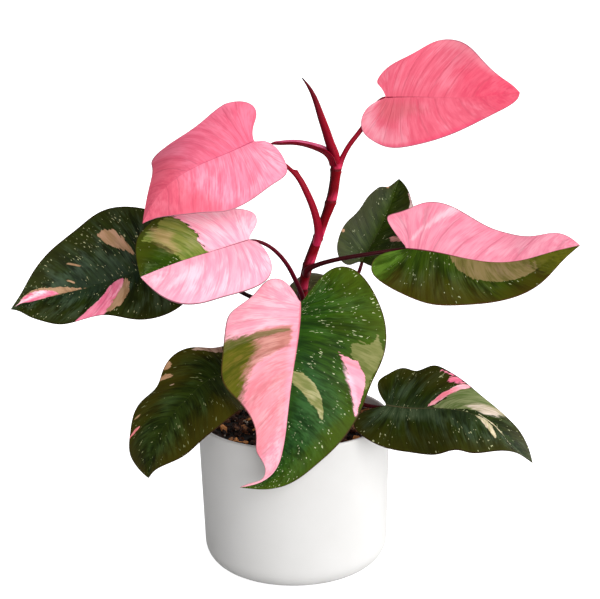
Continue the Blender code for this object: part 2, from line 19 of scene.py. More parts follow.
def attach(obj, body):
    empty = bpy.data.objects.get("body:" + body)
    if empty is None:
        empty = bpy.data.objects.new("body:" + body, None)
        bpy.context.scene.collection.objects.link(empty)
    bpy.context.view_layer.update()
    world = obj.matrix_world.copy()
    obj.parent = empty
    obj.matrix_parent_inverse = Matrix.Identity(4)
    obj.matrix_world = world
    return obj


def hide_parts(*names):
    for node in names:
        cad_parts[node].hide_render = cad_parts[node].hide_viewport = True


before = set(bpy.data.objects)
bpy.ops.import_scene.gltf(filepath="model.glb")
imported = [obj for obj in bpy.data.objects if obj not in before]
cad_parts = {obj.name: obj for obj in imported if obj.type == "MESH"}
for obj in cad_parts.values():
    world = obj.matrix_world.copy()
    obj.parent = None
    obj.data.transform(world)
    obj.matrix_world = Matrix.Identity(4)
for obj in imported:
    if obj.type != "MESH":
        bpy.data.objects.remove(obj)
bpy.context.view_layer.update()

MM = 0.001
SHEET_GAP = 0.01
SEAM_GAP = 0.004
BODY = "root"

log = logging.getLogger("philodendron")

Triple = tuple[float, float, float]
Pair = tuple[float, float]
Object = bpy.types.Object
Material = bpy.types.Material
Tree = bpy.types.NodeTree
Array = np.ndarray


class Slot(Enum):
    """Material slots of the record."""

    POT = "pot_white"
    SOIL = "soil_dark"
    STEM = "stem_crimson"
    PETIOLE = "petiole_maroon"
    PINK = "leaf_pink"
    HALF_PINK = "leaf_half_pink"
    GREEN = "leaf_green"
    OLIVE = "leaf_olive"


class Side(Enum):
    """Halves of a blade, as seen with its upper face forward and its tip down."""

    LEFT = -1
    RIGHT = 1


def screen(colour: Triple) -> tuple[float, ...]:
    """Turns a screen colour into the linear red, green, blue and alpha that shaders take."""
    share = np.asarray(colour, float) / 255
    linear = np.where(share <= 0.04045, share / 12.92, ((share + 0.055) / 1.055) ** 2.4)
    return (*map(float, linear), 1.0)


def unit(vectors: Array) -> Array:
    """Returns the rows of an array, each scaled to length one."""
    return vectors / np.linalg.norm(vectors, axis=-1, keepdims=True)


def lengths(points: Array) -> Array:
    """Returns how far each point of a chain is from its start, along the chain."""
    return np.concatenate([[0], np.cumsum(np.linalg.norm(np.diff(points, axis=0), axis=1))])


def between(at: Array, stations: Array, table: Array) -> Array:
    """Returns the rows of a table at places between its stations."""
    return np.stack([np.interp(at, stations, axis) for axis in np.asarray(table, float).T], 1)


def smooth_step(low: float, high: float, value: Array) -> Array:
    """Returns a rise from 0 at low to 1 at high, level at both ends."""
    share = np.clip((value - low) / (high - low), 0, 1)
    return share * share * (3 - 2 * share)


def natural_spline(points: Array, count: int) -> Array:
    """Samples the natural cubic through some points.

    Args:
        points: The points that the curve passes through, one a row.
        count: How many evenly spaced samples are wanted.

    Returns:
        The samples, one a row.
    """
    given = np.asarray(points, float)
    knots = lengths(given)
    steps = np.diff(knots)
    size = len(given)
    matrix = np.zeros((size, size))
    target = np.zeros(given.shape)
    matrix[0, 0] = matrix[-1, -1] = 1
    slopes = np.diff(given, axis=0) / steps[:, None]
    for i in range(1, size - 1):
        matrix[i, i - 1 : i + 2] = steps[i - 1], 2 * (steps[i - 1] + steps[i]), steps[i]
        target[i] = 6 * (slopes[i] - slopes[i - 1])
    bends = np.linalg.solve(matrix, target)
    at = np.linspace(0, knots[-1], count)
    i = np.clip(np.searchsorted(knots, at, side="right") - 1, 0, size - 2)
    span = steps[i][:, None]
    before = (knots[i + 1] - at)[:, None]
    after = (at - knots[i])[:, None]
    cubic = (bends[i] * before**3 + bends[i + 1] * after**3) / (6 * span)
    first = (given[i] / span - bends[i] * span / 6) * before
    return cubic + first + (given[i + 1] / span - bends[i + 1] * span / 6) * after


def polygon_distance(outline: Array, places: Array) -> Array:
    """Measures how far places lie inside an outline.

    Args:
        outline: Corners of a closed outline, one (x, y) a row.
        places: Places to measure, one (x, y) a row.

    Returns:
        The distance of each place from the outline, positive inside and negative outside.
    """
    tiny = 1e-12
    nearest = np.full(len(places), np.inf)
    inside = np.zeros(len(places), bool)
    for start, end in zip(outline, np.roll(outline, -1, axis=0)):
        edge = end - start
        offset = places - start
        share = np.clip(offset @ edge / max(edge @ edge, tiny), 0, 1)
        nearest = np.minimum(nearest, np.linalg.norm(offset - share[:, None] * edge, axis=1))
        crosses = (start[1] > places[:, 1]) != (end[1] > places[:, 1])
        at = start[0] + offset[:, 1] * edge[0] / (edge[1] or tiny)
        inside ^= crosses & (places[:, 0] < at)
    return np.where(inside, nearest, -nearest)


def only(obj: Object | None = None) -> None:
    """Clears the selection.

    Args:
        obj: An object to be selected alone and made active.
    """
    bpy.ops.object.select_all(action="DESELECT")
    if obj:
        obj.select_set(True)
        bpy.context.view_layer.objects.active = obj


@contextmanager
def editing(obj: Object) -> Iterator[None]:
    """Opens edit mode on an object with all of it selected, and leaves edit mode at the end."""
    only(obj)
    bpy.ops.object.mode_set(mode="EDIT")
    bpy.ops.mesh.select_all(action="SELECT")
    yield
    bpy.ops.object.mode_set(mode="OBJECT")


def named(name: str) -> Object:
    """Returns the object that was just added, with its new name."""
    made = bpy.context.object
    made.name = made.data.name = name
    return made


def positions(obj: Object) -> Array:
    """Returns the vertices of a mesh object in metres, one a row."""
    values = np.empty(len(obj.data.vertices) * 3)
    obj.data.vertices.foreach_get("co", values)
    return values.reshape(-1, 3)


def place_vertices(obj: Object, points: Array) -> None:
    """Moves the vertices of a mesh object to points in millimetres."""
    obj.data.vertices.foreach_set("co", (points * MM).ravel())
    obj.data.update()


def add_values(obj: Object, name: str, values: Array) -> None:
    """Stores one number a vertex under a name that materials can read."""
    layer = obj.data.attributes.new(name, "FLOAT", "POINT")
    layer.data.foreach_set("value", np.asarray(values, np.float32))


def grid(name: str, columns: int, rows: int) -> tuple[Object, Array, Array]:
    """Adds a flat grid with a UV map, to be bent into a sheet or a tube.

    Args:
        name: Name of the new object.
        columns: Faces across.
        rows: Faces along.

    Returns:
        The object, and its vertices' rows from 0 to 1 and columns from 1 to -1.
    """
    only()
    bpy.ops.mesh.primitive_grid_add(
        x_subdivisions=columns, y_subdivisions=rows, size=2, calc_uvs=True
    )
    made = named(name)
    flat = positions(made)
    return made, (flat[:, 1] + 1) / 2, -flat[:, 0]


def weld(distance: float) -> None:
    """Joins selected vertices that lie closer than a distance."""
    bpy.ops.mesh.remove_doubles(threshold=distance * MM)


def push_ring(rise: float, share: float, level: float) -> None:
    """Extrudes the selected ring of edges by a rise and scales it round the axis at a level."""
    bpy.ops.mesh.extrude_edges_move(TRANSFORM_OT_translate={"value": (0, 0, rise * MM)})
    bpy.ops.transform.resize(value=(share, share, 1), center_override=(0, 0, level * MM))


def smooth(obj: Object, degrees: float = 55.0) -> None:
    """Shades an object smooth, apart from edges sharper than an angle."""
    only(obj)
    bpy.ops.object.shade_smooth_by_angle(angle=math.radians(degrees))


def thicken(obj: Object, thickness: float, rim_finish: int = 0) -> None:
    """Welds a sheet and turns it into a closed shell.

    Args:
        obj: The sheet.
        thickness: How far its lower face lies below it.
        rim_finish: Material index of the rim; the upper face's is 0 and the lower one's is 1.
    """
    with editing(obj):
        weld(SHEET_GAP)
    solid = obj.modifiers.new("thickness", "SOLIDIFY")
    solid.thickness = thickness * MM
    solid.offset = -1
    solid.material_offset = 1
    solid.material_offset_rim = rim_finish
    for _ in range(2):
        obj.data.materials.append(None)
    bpy.ops.object.modifier_apply(modifier=solid.name)


def dress(obj: Object, slot: Slot, node: str, *finishes: Material) -> None:
    """Gives a finished piece its materials and ties it to the frame.

    Args:
        obj: The piece.
        slot: The record's slot that the piece belongs to; not used.
        node: The CAD node that it stands for.
        finishes: Its materials, in the order of its faces' indices.
    """
    for index, finish in enumerate(finishes):
        if index == len(obj.data.materials):
            obj.data.materials.append(None)
        obj.data.materials[index] = finish
    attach(obj, BODY)
    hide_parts(node)
    log.info("%s: %d faces", obj.name, len(obj.data.polygons))


# Shader graphs


@dataclass(frozen=True)
class Value:
    """An output socket. Its sums and products add Math nodes to its graph."""

    graph: "Graph"
    socket: bpy.types.NodeSocket

    def __add__(self, other: "Number") -> "Value":
        """Adds a number or a value."""
        return self.graph.math("ADD", self, other)

    def __sub__(self, other: "Number") -> "Value":
        """Takes away a number or a value."""
        return self.graph.math("SUBTRACT", self, other)

    def __mul__(self, other: "Number") -> "Value":
        """Multiplies by a number or a value."""
        return self.graph.math("MULTIPLY", self, other)

    def clamped(self) -> "Value":
        """Keeps the value between 0 and 1."""
        self.socket.node.use_clamp = True
        return self

    def ramp(
        self, low: "Number", high: "Number", bottom: float = 0.0, top: float = 1.0
    ) -> "Value":
        """Returns a smooth rise from bottom to top while the value goes from low to high."""
        ends = (self, low, high, bottom, top)
        return self.graph.node("MapRange", ends, interpolation_type="SMOOTHSTEP")


Number = Value | float


class Graph:
    """Short ways of adding and joining the nodes of one node tree."""

    def __init__(self, tree: Tree) -> None:
        """Keeps the tree."""
        self.tree = tree

    def put(self, value: Number | tuple, socket: bpy.types.NodeSocket) -> None:
        """Fills an input.

        Args:
            value: What is linked into it, or its own number or screen colour.
            socket: The input.
        """
        if isinstance(value, Value):
            self.tree.links.new(value.socket, socket)
        else:
            socket.default_value = screen(value) if socket.type == "RGBA" else value

    def node(self, kind: str, inputs: dict | tuple = (), output: int | str = 0, **own) -> Value:
        """Adds a node.

        Args:
            kind: The node's type name without ShaderNode in front.
            inputs: What its inputs take, in order or by name.
            output: Which of its outputs is wanted.
            own: Its own settings.

        Returns:
            The output.
        """
        made = self.tree.nodes.new("ShaderNode" + kind)
        for key, setting in own.items():
            setattr(made, key, setting)
        for key, value in inputs.items() if isinstance(inputs, dict) else enumerate(inputs):
            self.put(value, made.inputs[key])
        return Value(self, made.outputs[output])

    def math(self, operation: str, *values: Number) -> Value:
        """Adds a Math node."""
        return self.node("Math", values, operation=operation)

    def mix(
        self, share: Value, first: Value | Triple, second: Value | Triple, blend: str = "MIX"
    ) -> Value:
        """Adds a colour mix with a share of the second colour."""
        inputs = {0: share, 6: first, 7: second}
        return self.node("Mix", inputs, 2, data_type="RGBA", blend_type=blend)

    def noise(
        self, place: Value, scale: Number, detail: float = 2.0, rough: float = 0.5
    ) -> Value:
        """Adds a noise from 0 to 1, with a number of octaves and the strength of each finer one."""
        inputs = {"Vector": place, "Scale": scale, "Detail": detail, "Roughness": rough}
        return self.node("TexNoise", inputs, "Fac")

    def join(self, *axes: Number) -> Value:
        """Joins numbers into a vector."""
        return self.node("CombineXYZ", axes)

    def split(self, vector: Value) -> list[Value]:
        """Returns the three numbers of a vector."""
        made = self.node("SeparateXYZ", (vector,)).socket.node
        return [Value(self, socket) for socket in made.outputs]

    def scaled(self, vector: Value, scale: Triple) -> Value:
        """Scales a vector along its three axes."""
        return self.node("Mapping", {"Vector": vector, "Scale": scale})

    def attribute(self, name: str) -> Value:
        """Returns a number stored on the vertices."""
        return self.node("Attribute", output="Fac", attribute_name=name)

    def millimetres(self) -> Value:
        """Returns the place on the object in millimetres."""
        return self.scaled(self.node("TexCoord", output="Object"), (1 / MM, 1 / MM, 1 / MM))

    def round(self) -> tuple[Value, Value, Value]:
        """Reads a tube's UV map: the turn's cosine and sine, and the share of its length."""
        turn, along, _ = self.split(self.node("UVMap"))
        angle = turn * (2 * math.pi)
        return self.math("COSINE", angle), self.math("SINE", angle), along

    def group(self, tree: Tree, **inputs: Number) -> dict[str, Value]:
        """Places a shader group and returns its outputs by name."""
        made = self.node("Group", inputs, node_tree=tree).socket.node
        return {socket.name: Value(self, socket) for socket in made.outputs}


def new_group(name: str, inputs: dict[str, float], rule: Callable) -> Tree:
    """Builds a shader group.

    Args:
        name: The group's name.
        inputs: Its inputs, with their values when nothing is joined to them. Place is a vector.
        rule: Takes the graph and the inputs, and returns the outputs by name.

    Returns:
        The group's tree.
    """
    tree = bpy.data.node_groups.new(name, "ShaderNodeTree")
    for label, value in inputs.items():
        kind = "NodeSocketVector" if label == "Place" else "NodeSocketFloat"
        socket = tree.interface.new_socket(label, in_out="INPUT", socket_type=kind)
        if label != "Place":
            socket.default_value = value
    graph = Graph(tree)
    given = tree.nodes.new("NodeGroupInput").outputs
    results = rule(graph, *(Value(graph, given[label]) for label in inputs))
    for label in results:
        tree.interface.new_socket(label, in_out="OUTPUT", socket_type="NodeSocketFloat")
    wanted = tree.nodes.new("NodeGroupOutput").inputs
    for label, value in results.items():
        graph.put(value, wanted[label])
    return tree


def jagged_patch(
    graph: Graph, distance: Value, place: Value, jag: Value, soft: Value, strength: Value
) -> dict[str, Value]:
    """Gives a patch's mask with a jagged edge, from the distance inside its outline."""
    edge = distance + (graph.noise(place, 1.0, 3.0, 0.6) - 0.5) * jag
    return {"Mask": edge.ramp(soft * -1.0, soft) * strength}


def lateral_veins(
    graph: Graph, vein: Value, across: Value, width: Value, wander: Value
) -> dict[str, Value]:
    """Draws the lateral veins.

    Args:
        graph: The group's graph.
        vein: Running number of the veins.
        across: Share of the way to the margin.
        width: Width of a line against the veins' spacing.
        wander: How far a line strays, in the same measure.

    Returns:
        Thin lines, soft bands beside them, and their height.
    """
    turn = vein + wander
    away = graph.math("PINGPONG", turn, 0.5)
    line = away.ramp(0.0, width, 1.0, 0.0)
    fine_line = graph.math("PINGPONG", turn * 5.0, 0.5).ramp(0.0, 0.35, 1.0, 0.0)
    return {
        "Line": line * across.ramp(0.82, 0.98, 1.0, 0.0),
        "Band": away.ramp(0.0, 0.5),
        "Height": line * -1.0 + fine_line * -0.22,
    }


def pale_flecks(graph: Graph, place: Value, amount: Value) -> dict[str, Value]:
    """Draws short pale dashes that lie along the lateral veins, in loose clusters.

    Args:
        graph: The group's graph.
        place: Place on the blade.
        amount: How many there are, about 0 to 1.

    Returns:
        Their mask.
    """
    row, column, side = graph.split(place)
    dashes = graph.noise(graph.join(row * 1.7, column * 0.3, side), 1.0, 0.0)
    bar = graph.noise(place, 0.1).ramp(0.38, 0.66) * -0.14 + 0.875 - amount * 0.1
    return {"Mask": dashes.ramp(bar, bar + 0.035)}


def uneven_tone(graph: Graph, place: Value, scale: Value) -> dict[str, Value]:
    """Gives broad clouds and fine grain, both about one half."""
    clouds = graph.noise(place, scale, 3.0, 0.55)
    return {"Clouds": clouds, "Grain": graph.noise(place, scale * 9.0, 2.0, 0.6)}


class Effects:
    """Shader groups that several finishes share, each built once."""

    def __init__(self) -> None:
        """Builds every group."""
        edge = {"Distance": 0.0, "Place": 0.0, "Jag": 1.0, "Soft": 0.3, "Strength": 1.0}
        lines = {"Vein": 0.0, "Across": 0.0, "Width": 0.1, "Wander": 0.0}
        self.patch = new_group("jagged patch", edge, jagged_patch)
        self.veins = new_group("lateral veins", lines, lateral_veins)
        self.flecks = new_group("pale flecks", {"Place": 0.0, "Amount": 0.3}, pale_flecks)
        self.grain = new_group("uneven tone", {"Place": 0.0, "Scale": 1.0}, uneven_tone)


class Skin:
    """A material in the making, with its graph and its Principled shader."""

    def __init__(self, name: str, roughness: float, specular: float = 0.3) -> None:
        """Starts the material.

        Args:
            name: Its name.
            roughness: Its roughness while nothing is joined to that.
            specular: Strength of its reflections.
        """
        self.material = bpy.data.materials.new(name)
        self.material.use_nodes = True
        self.graph = Graph(self.material.node_tree)
        self.feed({"Roughness": roughness, "Specular IOR Level": specular})

    def feed(self, inputs: dict[str, Number | tuple]) -> None:
        """Joins values to the shader's inputs, or sets them."""
        shader = self.material.node_tree.nodes["Principled BSDF"]
        for label, value in inputs.items():
            self.graph.put(value, shader.inputs[label])

    def done(
        self, colour: Value, height: Value, distance: float, strength: float,
        rough: Value | None = None,
    ) -> Material:
        """Gives the shader its colour and its relief.

        Args:
            colour: The colour.
            height: Height of the relief, about 1 at its highest.
            distance: What a height of 1 stands for.
            strength: Strength of the relief.
            rough: The roughness, where it changes over the surface.

        Returns:
            The material.
        """
        relief = {"Height": height, "Distance": distance * MM, "Strength": strength}
        self.feed({"Base Color": colour, "Normal": self.graph.node("Bump", relief, "Normal")})
        if rough:
            self.feed({"Roughness": rough})
        return self.material


# Leaves


@dataclass(frozen=True)
class Sheet:
    """A blade bent along its midrib, in millimetres and degrees.

    The outlines run from the junction round each half to the tip. Each point is a share of the
    midrib's length and a distance from the midrib. Fold lifts each half from the junction to the
    tip, curl bends it over CURL_WIDTH, and wave is the margin's height, count and phase.
    """

    midrib: tuple[Triple, ...]
    facing: tuple[Triple, ...]
    left: tuple[Pair, ...]
    right: tuple[Pair, ...]
    fold: tuple[Pair, ...]
    curl: Pair
    wave: Triple = (0.0, 1.0, 0.0)


@dataclass(frozen=True)
class Stalk:
    """A petiole: its line from inside the stem to the junction, and its two end radii."""

    line: tuple[Triple, ...]
    radii: Pair


@dataclass(frozen=True)
class Patch:
    """A coloured patch on a blade.

    The outline is in rows (0 at the junction, 1 at the tip) and columns (-1 at the left margin,
    1 at the right one). Tone and shade are its two colours, jag is how far its edge wanders and
    soft how wide it fades, both in millimetres. Pale is the colour of its sheen.
    """

    tone: Triple
    shade: Triple
    outline: tuple[Pair, ...]
    jag: float = 1.6
    soft: float = 0.25
    strength: float = 1.0
    pale: Triple = (250, 214, 224)
    sheen: float = 0.0


@dataclass(frozen=True)
class LeafFinish:
    """Colours and relief of one leaf: outer is its tone near the margin, heart the one inside.

    Heart is partly a painted sheen near the midrib. Pale and sheen paint pale streaks that stand
    in for highlights, and band paints the pleats paler and the creases along the veins deeper,
    as painted light and shade.
    """

    tone: Triple
    shade: Triple
    rib: Triple
    margin: Triple
    under: Triple
    under_vein: Triple
    outer: Triple = (0, 0, 0)
    outer_share: float = 0.0
    heart: Triple = (0, 0, 0)
    heart_share: float = 0.0
    line: Triple = (150, 120, 110)
    veins: int = 12
    relief: float = 0.3
    vein_dark: float = 0.35
    band: float = 0.3
    rib_end: float = 0.5
    edge: float = 0.8
    junction: Triple = (116, 18, 38)
    flecks: float = 0.0
    fleck: Triple = (182, 188, 146)
    pale: Triple = (120, 136, 92)
    sheen: float = 0.25
    roughness: float = 0.4
    patches: tuple[Patch, ...] = ()


LEAF_SPECULAR = 0.04
CURL_WIDTH = 45.0
MARGIN_SHIFT = 0.35
RIB_EVEN = 0.02
RIB_LATE = 0.965
RIB_POWER = 2.4
BEND_ALONG = 0.25
BEND_ACROSS = 0.55
MIDRIB_SAMPLES = 241
VEIN_WAVES = ((0.014, 11, 1.0), (0.009, 29, 2.0), (0.005, 53, 3.0))


class BentSheet:
    """Places on a flat blade, turned into points of the bent one, many at a time."""

    def __init__(self, sheet: Sheet, rows: int) -> None:
        """Works out the midrib's frame and the two margins.

        Args:
            sheet: The blade.
            rows: Rows of faces from the junction to the tip.
        """
        self.sheet = sheet
        self.rows = rows
        self.line = natural_spline(sheet.midrib, MIDRIB_SAMPLES)
        self.at = lengths(self.line)
        self.length = float(self.at[-1])
        self.tangent = unit(np.gradient(self.line, self.at, axis=0))
        facing = unit(np.asarray(sheet.facing, float))
        normal = between(self.at, np.linspace(0, self.length, len(facing)), facing)
        along = (normal * self.tangent).sum(1)[:, None]
        self.normal = unit(normal - along * self.tangent)
        self.right = np.cross(self.normal, self.tangent)
        self.margins = {
            side: natural_spline(np.asarray(points, float) * (self.length, 1), rows + 1)
            for side, points in ((Side.LEFT, sheet.left), (Side.RIGHT, sheet.right))
        }

    def flat(self, row: Array, column: Array) -> tuple[Array, Array]:
        """Finds places on the flat blade.

        Args:
            row: Rows from 0 at the junction to 1 at the tip.
            column: Columns from -1 at the left margin to 1 at the right one.

        Returns:
            Distances along the midrib and away from it.
        """
        index = np.round(row * self.rows).astype(int)
        left = column[:, None] < 0
        outer = np.where(left, self.margins[Side.LEFT][index], self.margins[Side.RIGHT][index])
        rib = self.length * (RIB_EVEN * row + RIB_LATE * row**RIB_POWER)
        middle = np.stack([rib + BEND_ALONG * (outer[:, 0] - rib), BEND_ACROSS * outer[:, 1]], 1)
        share = np.abs(column)[:, None]
        start = np.stack([rib, np.zeros_like(rib)], 1)
        flat = start * (1 - share) ** 2 + 2 * middle * share * (1 - share) + outer * share**2
        return flat[:, 0], np.maximum(flat[:, 1], 0)

    def wave(self, row: Array, column: Array) -> Array:
        """Finds how far the margin's wave lifts the blade.

        Args:
            row: Rows.
            column: Columns.

        Returns:
            The lift in millimetres.
        """
        height, count, phase = self.sheet.wave
        turn = count * row + phase + np.where(column < 0, 0, MARGIN_SHIFT)
        fade = np.sqrt(np.maximum(np.sin(np.pi * row), 0))
        return height * column**2 * np.sin(2 * np.pi * turn) * fade

    def points(
        self, x: Array, y: Array, column: Array, lift: Array
    ) -> Array:
        """Bends the blade.

        Args:
            x: Distances along the midrib.
            y: Distances away from it.
            column: Columns, for the side that each place is on.
            lift: Heights over the bent sheet.

        Returns:
            The bent places in millimetres, one a row.
        """
        inside = np.clip(x, 0, self.length)
        tangent, line, right, normal = (
            between(inside, self.at, table)
            for table in (self.tangent, self.line, self.right, self.normal)
        )
        stations = np.linspace(0, self.length, len(self.sheet.fold))
        folds = between(inside, stations, self.sheet.fold).T
        fold = np.radians(np.where(column < 0, *folds))
        bend = np.radians(np.where(column < 0, *self.sheet.curl)) / CURL_WIDTH
        across = (np.sin(fold + bend * y) - np.sin(fold)) / bend
        height = (np.cos(fold) - np.cos(fold + bend * y)) / bend
        sideways = (np.where(column < 0, -1, 1) * across)[:, None] * right
        centre = line + (x - inside)[:, None] * tangent
        return centre + sideways + (height + lift)[:, None] * normal


@dataclass
class Blade:
    """The blade of one leaf, with its midrib, its lateral veins and its patches."""

    name: str
    sheet: Sheet
    finish: LeafFinish
    slot: Slot
    effects: Effects
    seed: float = 0.0
    rows: int = 150
    columns: int = 24
    top: float = 0.35
    rib_thickness: float = 2.4
    margin_thickness: float = 0.6
    rib_width: float = 2.6
    rib_groove: float = 0.4
    rib_rise: float = 9.0
    groove_width: float = 1.3
    stagger: float = 0.43
    vein_ridge: float = 0.35
    loose_height: float = 0.18
    side_step: float = 40.0

    def vein(self, row: Array, column: Array) -> Array:
        """Numbers the lateral veins, a little unevenly spaced.

        Args:
            row: Rows.
            column: Columns.

        Returns:
            The running number, a whole one on each vein.
        """
        side = np.where(column < 0, 0.0, self.stagger)
        turn = self.seed + 5 * side
        uneven = sum(depth * np.sin(pace * row + start * turn) for depth, pace, start in VEIN_WAVES)
        return self.finish.veins * (row + uneven) + side

    def relief(
        self, x: Array, y: Array, row: Array, column: Array
    ) -> Array:
        """Shapes the upper face: the midrib's groove, pleats between the veins, loose waves.

        Args:
            x: Distances along the midrib.
            y: Distances away from it.
            row: Rows.
            column: Columns.

        Returns:
            Heights over the bent sheet.
        """
        share = np.abs(column)
        groove = self.rib_groove * np.exp(-((y / self.groove_width) ** 2)) * (1 - 0.8 * row)
        vein = self.vein(row, column)
        strength = 0.55 + 0.45 * np.sin(0.9 * vein + 3 * self.seed)
        swell = strength * (np.abs(np.sin(np.pi * vein)) ** 0.75 - 0.45)
        reach = smooth_step(0.0, 0.28, share) * (1 - smooth_step(0.75, 1.0, share))
        ends = smooth_step(0.0, 0.06, row) * (1 - smooth_step(0.9, 1.0, row))
        loose = np.sin(x / 8.3 + self.seed) * np.sin(y / 6.1 + 2 * self.seed)
        lift = self.finish.relief * swell + self.loose_height * loose
        return self.top - groove + lift * reach * ends

    def thickness(
        self, x: Array, y: Array, row: Array, column: Array
    ) -> Array:
        """Shapes the lower face: the midrib, thickest a little past its base, and vein ridges.

        Args:
            x: Distances along the midrib.
            y: Distances away from it.
            row: Rows.
            column: Columns.

        Returns:
            Thicknesses of the blade.
        """
        rib = np.exp(-((y / self.rib_width * 1.4) ** 2)) * (1 - row) ** 0.8
        rib = rib * smooth_step(0.0, self.rib_rise, np.hypot(x, y))
        veins = 1 - smooth_step(0.0, 0.16, np.abs((self.vein(row, column) + 0.5) % 1 - 0.5))
        reach = smooth_step(0.0, 0.1, np.abs(column)) * (1 - smooth_step(0.4, 0.9, np.abs(column)))
        ridge = self.vein_ridge * veins * reach * smooth_step(0.04, 0.12, row)
        return self.margin_thickness + (self.rib_thickness - self.margin_thickness) * rib + ridge

    def build(self) -> None:
        """Models the blade from a grid, thickens it and dresses it."""
        obj, row, column = grid(self.name, 2 * self.columns, self.rows)
        bent = BentSheet(self.sheet, self.rows)
        x, y = bent.flat(row, column)
        lift = bent.wave(row, column) + self.relief(x, y, row, column)
        place_vertices(obj, bent.points(x, y, column, lift))
        add_values(obj, "vein", self.vein(row, column))
        scale = np.array([bent.length, max(y)])
        places = np.stack([row, column], 1) * scale
        for number, patch in enumerate(self.finish.patches, 1):
            outline = np.asarray(patch.outline, float) * scale
            add_values(obj, f"patch_{number}", polygon_distance(outline, places))
        below = lift - self.thickness(x, y, row, column)
        for axis, values in zip("xyz", bent.points(x, y, column, below).T):
            add_values(obj, f"lower_{axis}", values)
        thicken(obj, self.margin_thickness)
        self.lower_face(obj)
        smooth(obj)
        skins = self.upper_material(scale), self.lower_material(scale)
        dress(obj, self.slot, self.name, *skins)

    def lower_face(self, obj: Object) -> None:
        """Moves the second half of the vertices, the lower face, to the places kept for it."""
        points = positions(obj) / MM
        half = len(points) // 2
        for column, axis in enumerate("xyz"):
            kept = obj.data.attributes[f"lower_{axis}"]
            values = np.empty(len(points), np.float32)
            kept.data.foreach_get("value", values)
            points[half:, column] = values[half:]
            obj.data.attributes.remove(kept)
        place_vertices(obj, points)

    def blade_place(self, graph: Graph, scale: Array) -> tuple[Value, Value, Value]:
        """Reads the place on the blade.

        Args:
            graph: The material's graph.
            scale: Length and half width of the blade.

        Returns:
            The row, the share of the way to the margin, and the place in millimetres.
        """
        across, row, _ = graph.split(graph.node("UVMap"))
        column = across * -2.0 + 1.0
        share = graph.math("ABSOLUTE", column)
        side = graph.math("SIGN", column) * (self.side_step + self.seed)
        return row, share, graph.join(row * float(scale[0]), share * float(scale[1]), side)

    @staticmethod
    def streaks(graph: Graph, place: Value, stretch: float, scale: float) -> Value:
        """Adds noise drawn out along the lateral veins, with a scale in streaks a millimetre."""
        return graph.noise(graph.scaled(place, (1.0, 1.0 / stretch, 1.0)), scale, 3.0, 0.55)

    @staticmethod
    def near_junction(row: Value, away: Value) -> Value:
        """Masks the few millimetres round the junction, from the row and the midrib's distance."""
        return row.ramp(0.01, 0.05, 0.9, 0.0) * away.ramp(1.0, 3.5, 1.0, 0.0)

    @staticmethod
    def paint(graph: Graph, look: LeafFinish | Patch, tone: Value, sheen: Value) -> Value:
        """Mixes the shade and the tone of the ground or of a patch, and a pale sheen over them."""
        mixed = graph.mix(tone, look.shade, look.tone)
        return graph.mix(sheen * look.sheen, mixed, look.pale) if look.sheen else mixed

    def upper_material(self, scale: Array) -> Material:
        """Builds the upper face's material.

        Args:
            scale: Length and half width of the blade.

        Returns:
            The material: ground, flecks, patches, veins, midrib and margin.
        """
        look = self.finish
        skin = Skin(self.name + "_upper", look.roughness, LEAF_SPECULAR)
        graph = skin.graph
        row, share, place = self.blade_place(graph, scale)
        veins = graph.group(
            self.effects.veins, Vein=graph.attribute("vein"), Across=share, Width=0.08,
            Wander=self.streaks(graph, place, 3.0, 0.12) * 0.3 - 0.15,
        )
        broad = self.streaks(graph, place, 6.0, 0.3)
        fine = self.streaks(graph, place, 14.0, 1.1)
        # painted light and shade: band makes the pleats between the veins paler and the creases
        # along them deeper
        tone = fine * 0.7 + broad + veins["Band"] * look.band - (0.35 + look.band / 2)
        tone = tone.ramp(0.28, 0.72)
        # painted sheen: pale streaks that stand in for soft highlights
        sheen = (fine * 0.45 + self.streaks(graph, place, 4.0, 0.13)).ramp(0.66, 0.92)
        sheen = sheen * share.ramp(0.03, 0.3) * share.ramp(0.8, 1.0, 1.0, 0.25)
        colour = self.paint(graph, look, tone, sheen)
        spread = share + broad * 0.3 + self.streaks(graph, place, 2.5, 0.06) * 1.1 - 0.55
        if look.outer_share:
            outer = spread.ramp(0.45, 1.15, 0.0, look.outer_share)
            colour = graph.mix(outer, colour, look.outer)
        # heart: the tone inside the blade, partly a painted sheen near the midrib
        if look.heart_share:
            heart = spread.ramp(0.1, 0.65, look.heart_share, 0.0)
            colour = graph.mix(heart * fine.ramp(0.25, 0.6, 0.35, 1.0), colour, look.heart)
        if look.flecks:
            flecks = graph.group(self.effects.flecks, Place=place, Amount=look.flecks)
            colour = graph.mix(flecks["Mask"], colour, look.fleck)
        teeth = graph.scaled(place, (0.8, 0.13, 1.0))
        for number, patch in enumerate(look.patches, 1):
            mask = graph.group(
                self.effects.patch, Distance=graph.attribute(f"patch_{number}"), Place=teeth,
                Jag=patch.jag * 5, Soft=patch.soft, Strength=patch.strength,
            )
            colour = graph.mix(mask["Mask"], colour, self.paint(graph, patch, tone, sheen))
        lines = veins["Line"] * look.vein_dark * broad.ramp(0.3, 0.7, 0.35, 1.0)
        colour = graph.mix(lines, colour, look.line, "MULTIPLY")
        away = share * float(scale[1])
        width = row.ramp(0.0, 1.0, 0.8, 0.3)
        rib = away.ramp(width * 0.3, width, 1.0, 0.0) * row.ramp(0.0, 0.9, 1.0, look.rib_end)
        colour = graph.mix(rib, colour, look.rib)
        colour = graph.mix(share.ramp(0.975, 0.995, 0.0, look.edge), colour, look.margin)
        colour = graph.mix(self.near_junction(row, away), colour, look.junction)
        tones = graph.group(self.effects.grain, Place=place, Scale=0.25)
        height = veins["Height"] + fine * 0.5 + tones["Grain"] * 0.22
        rough = tones["Clouds"] * 0.24 + (look.roughness - 0.12)
        return skin.done(colour, height, 0.14, 0.6, rough)

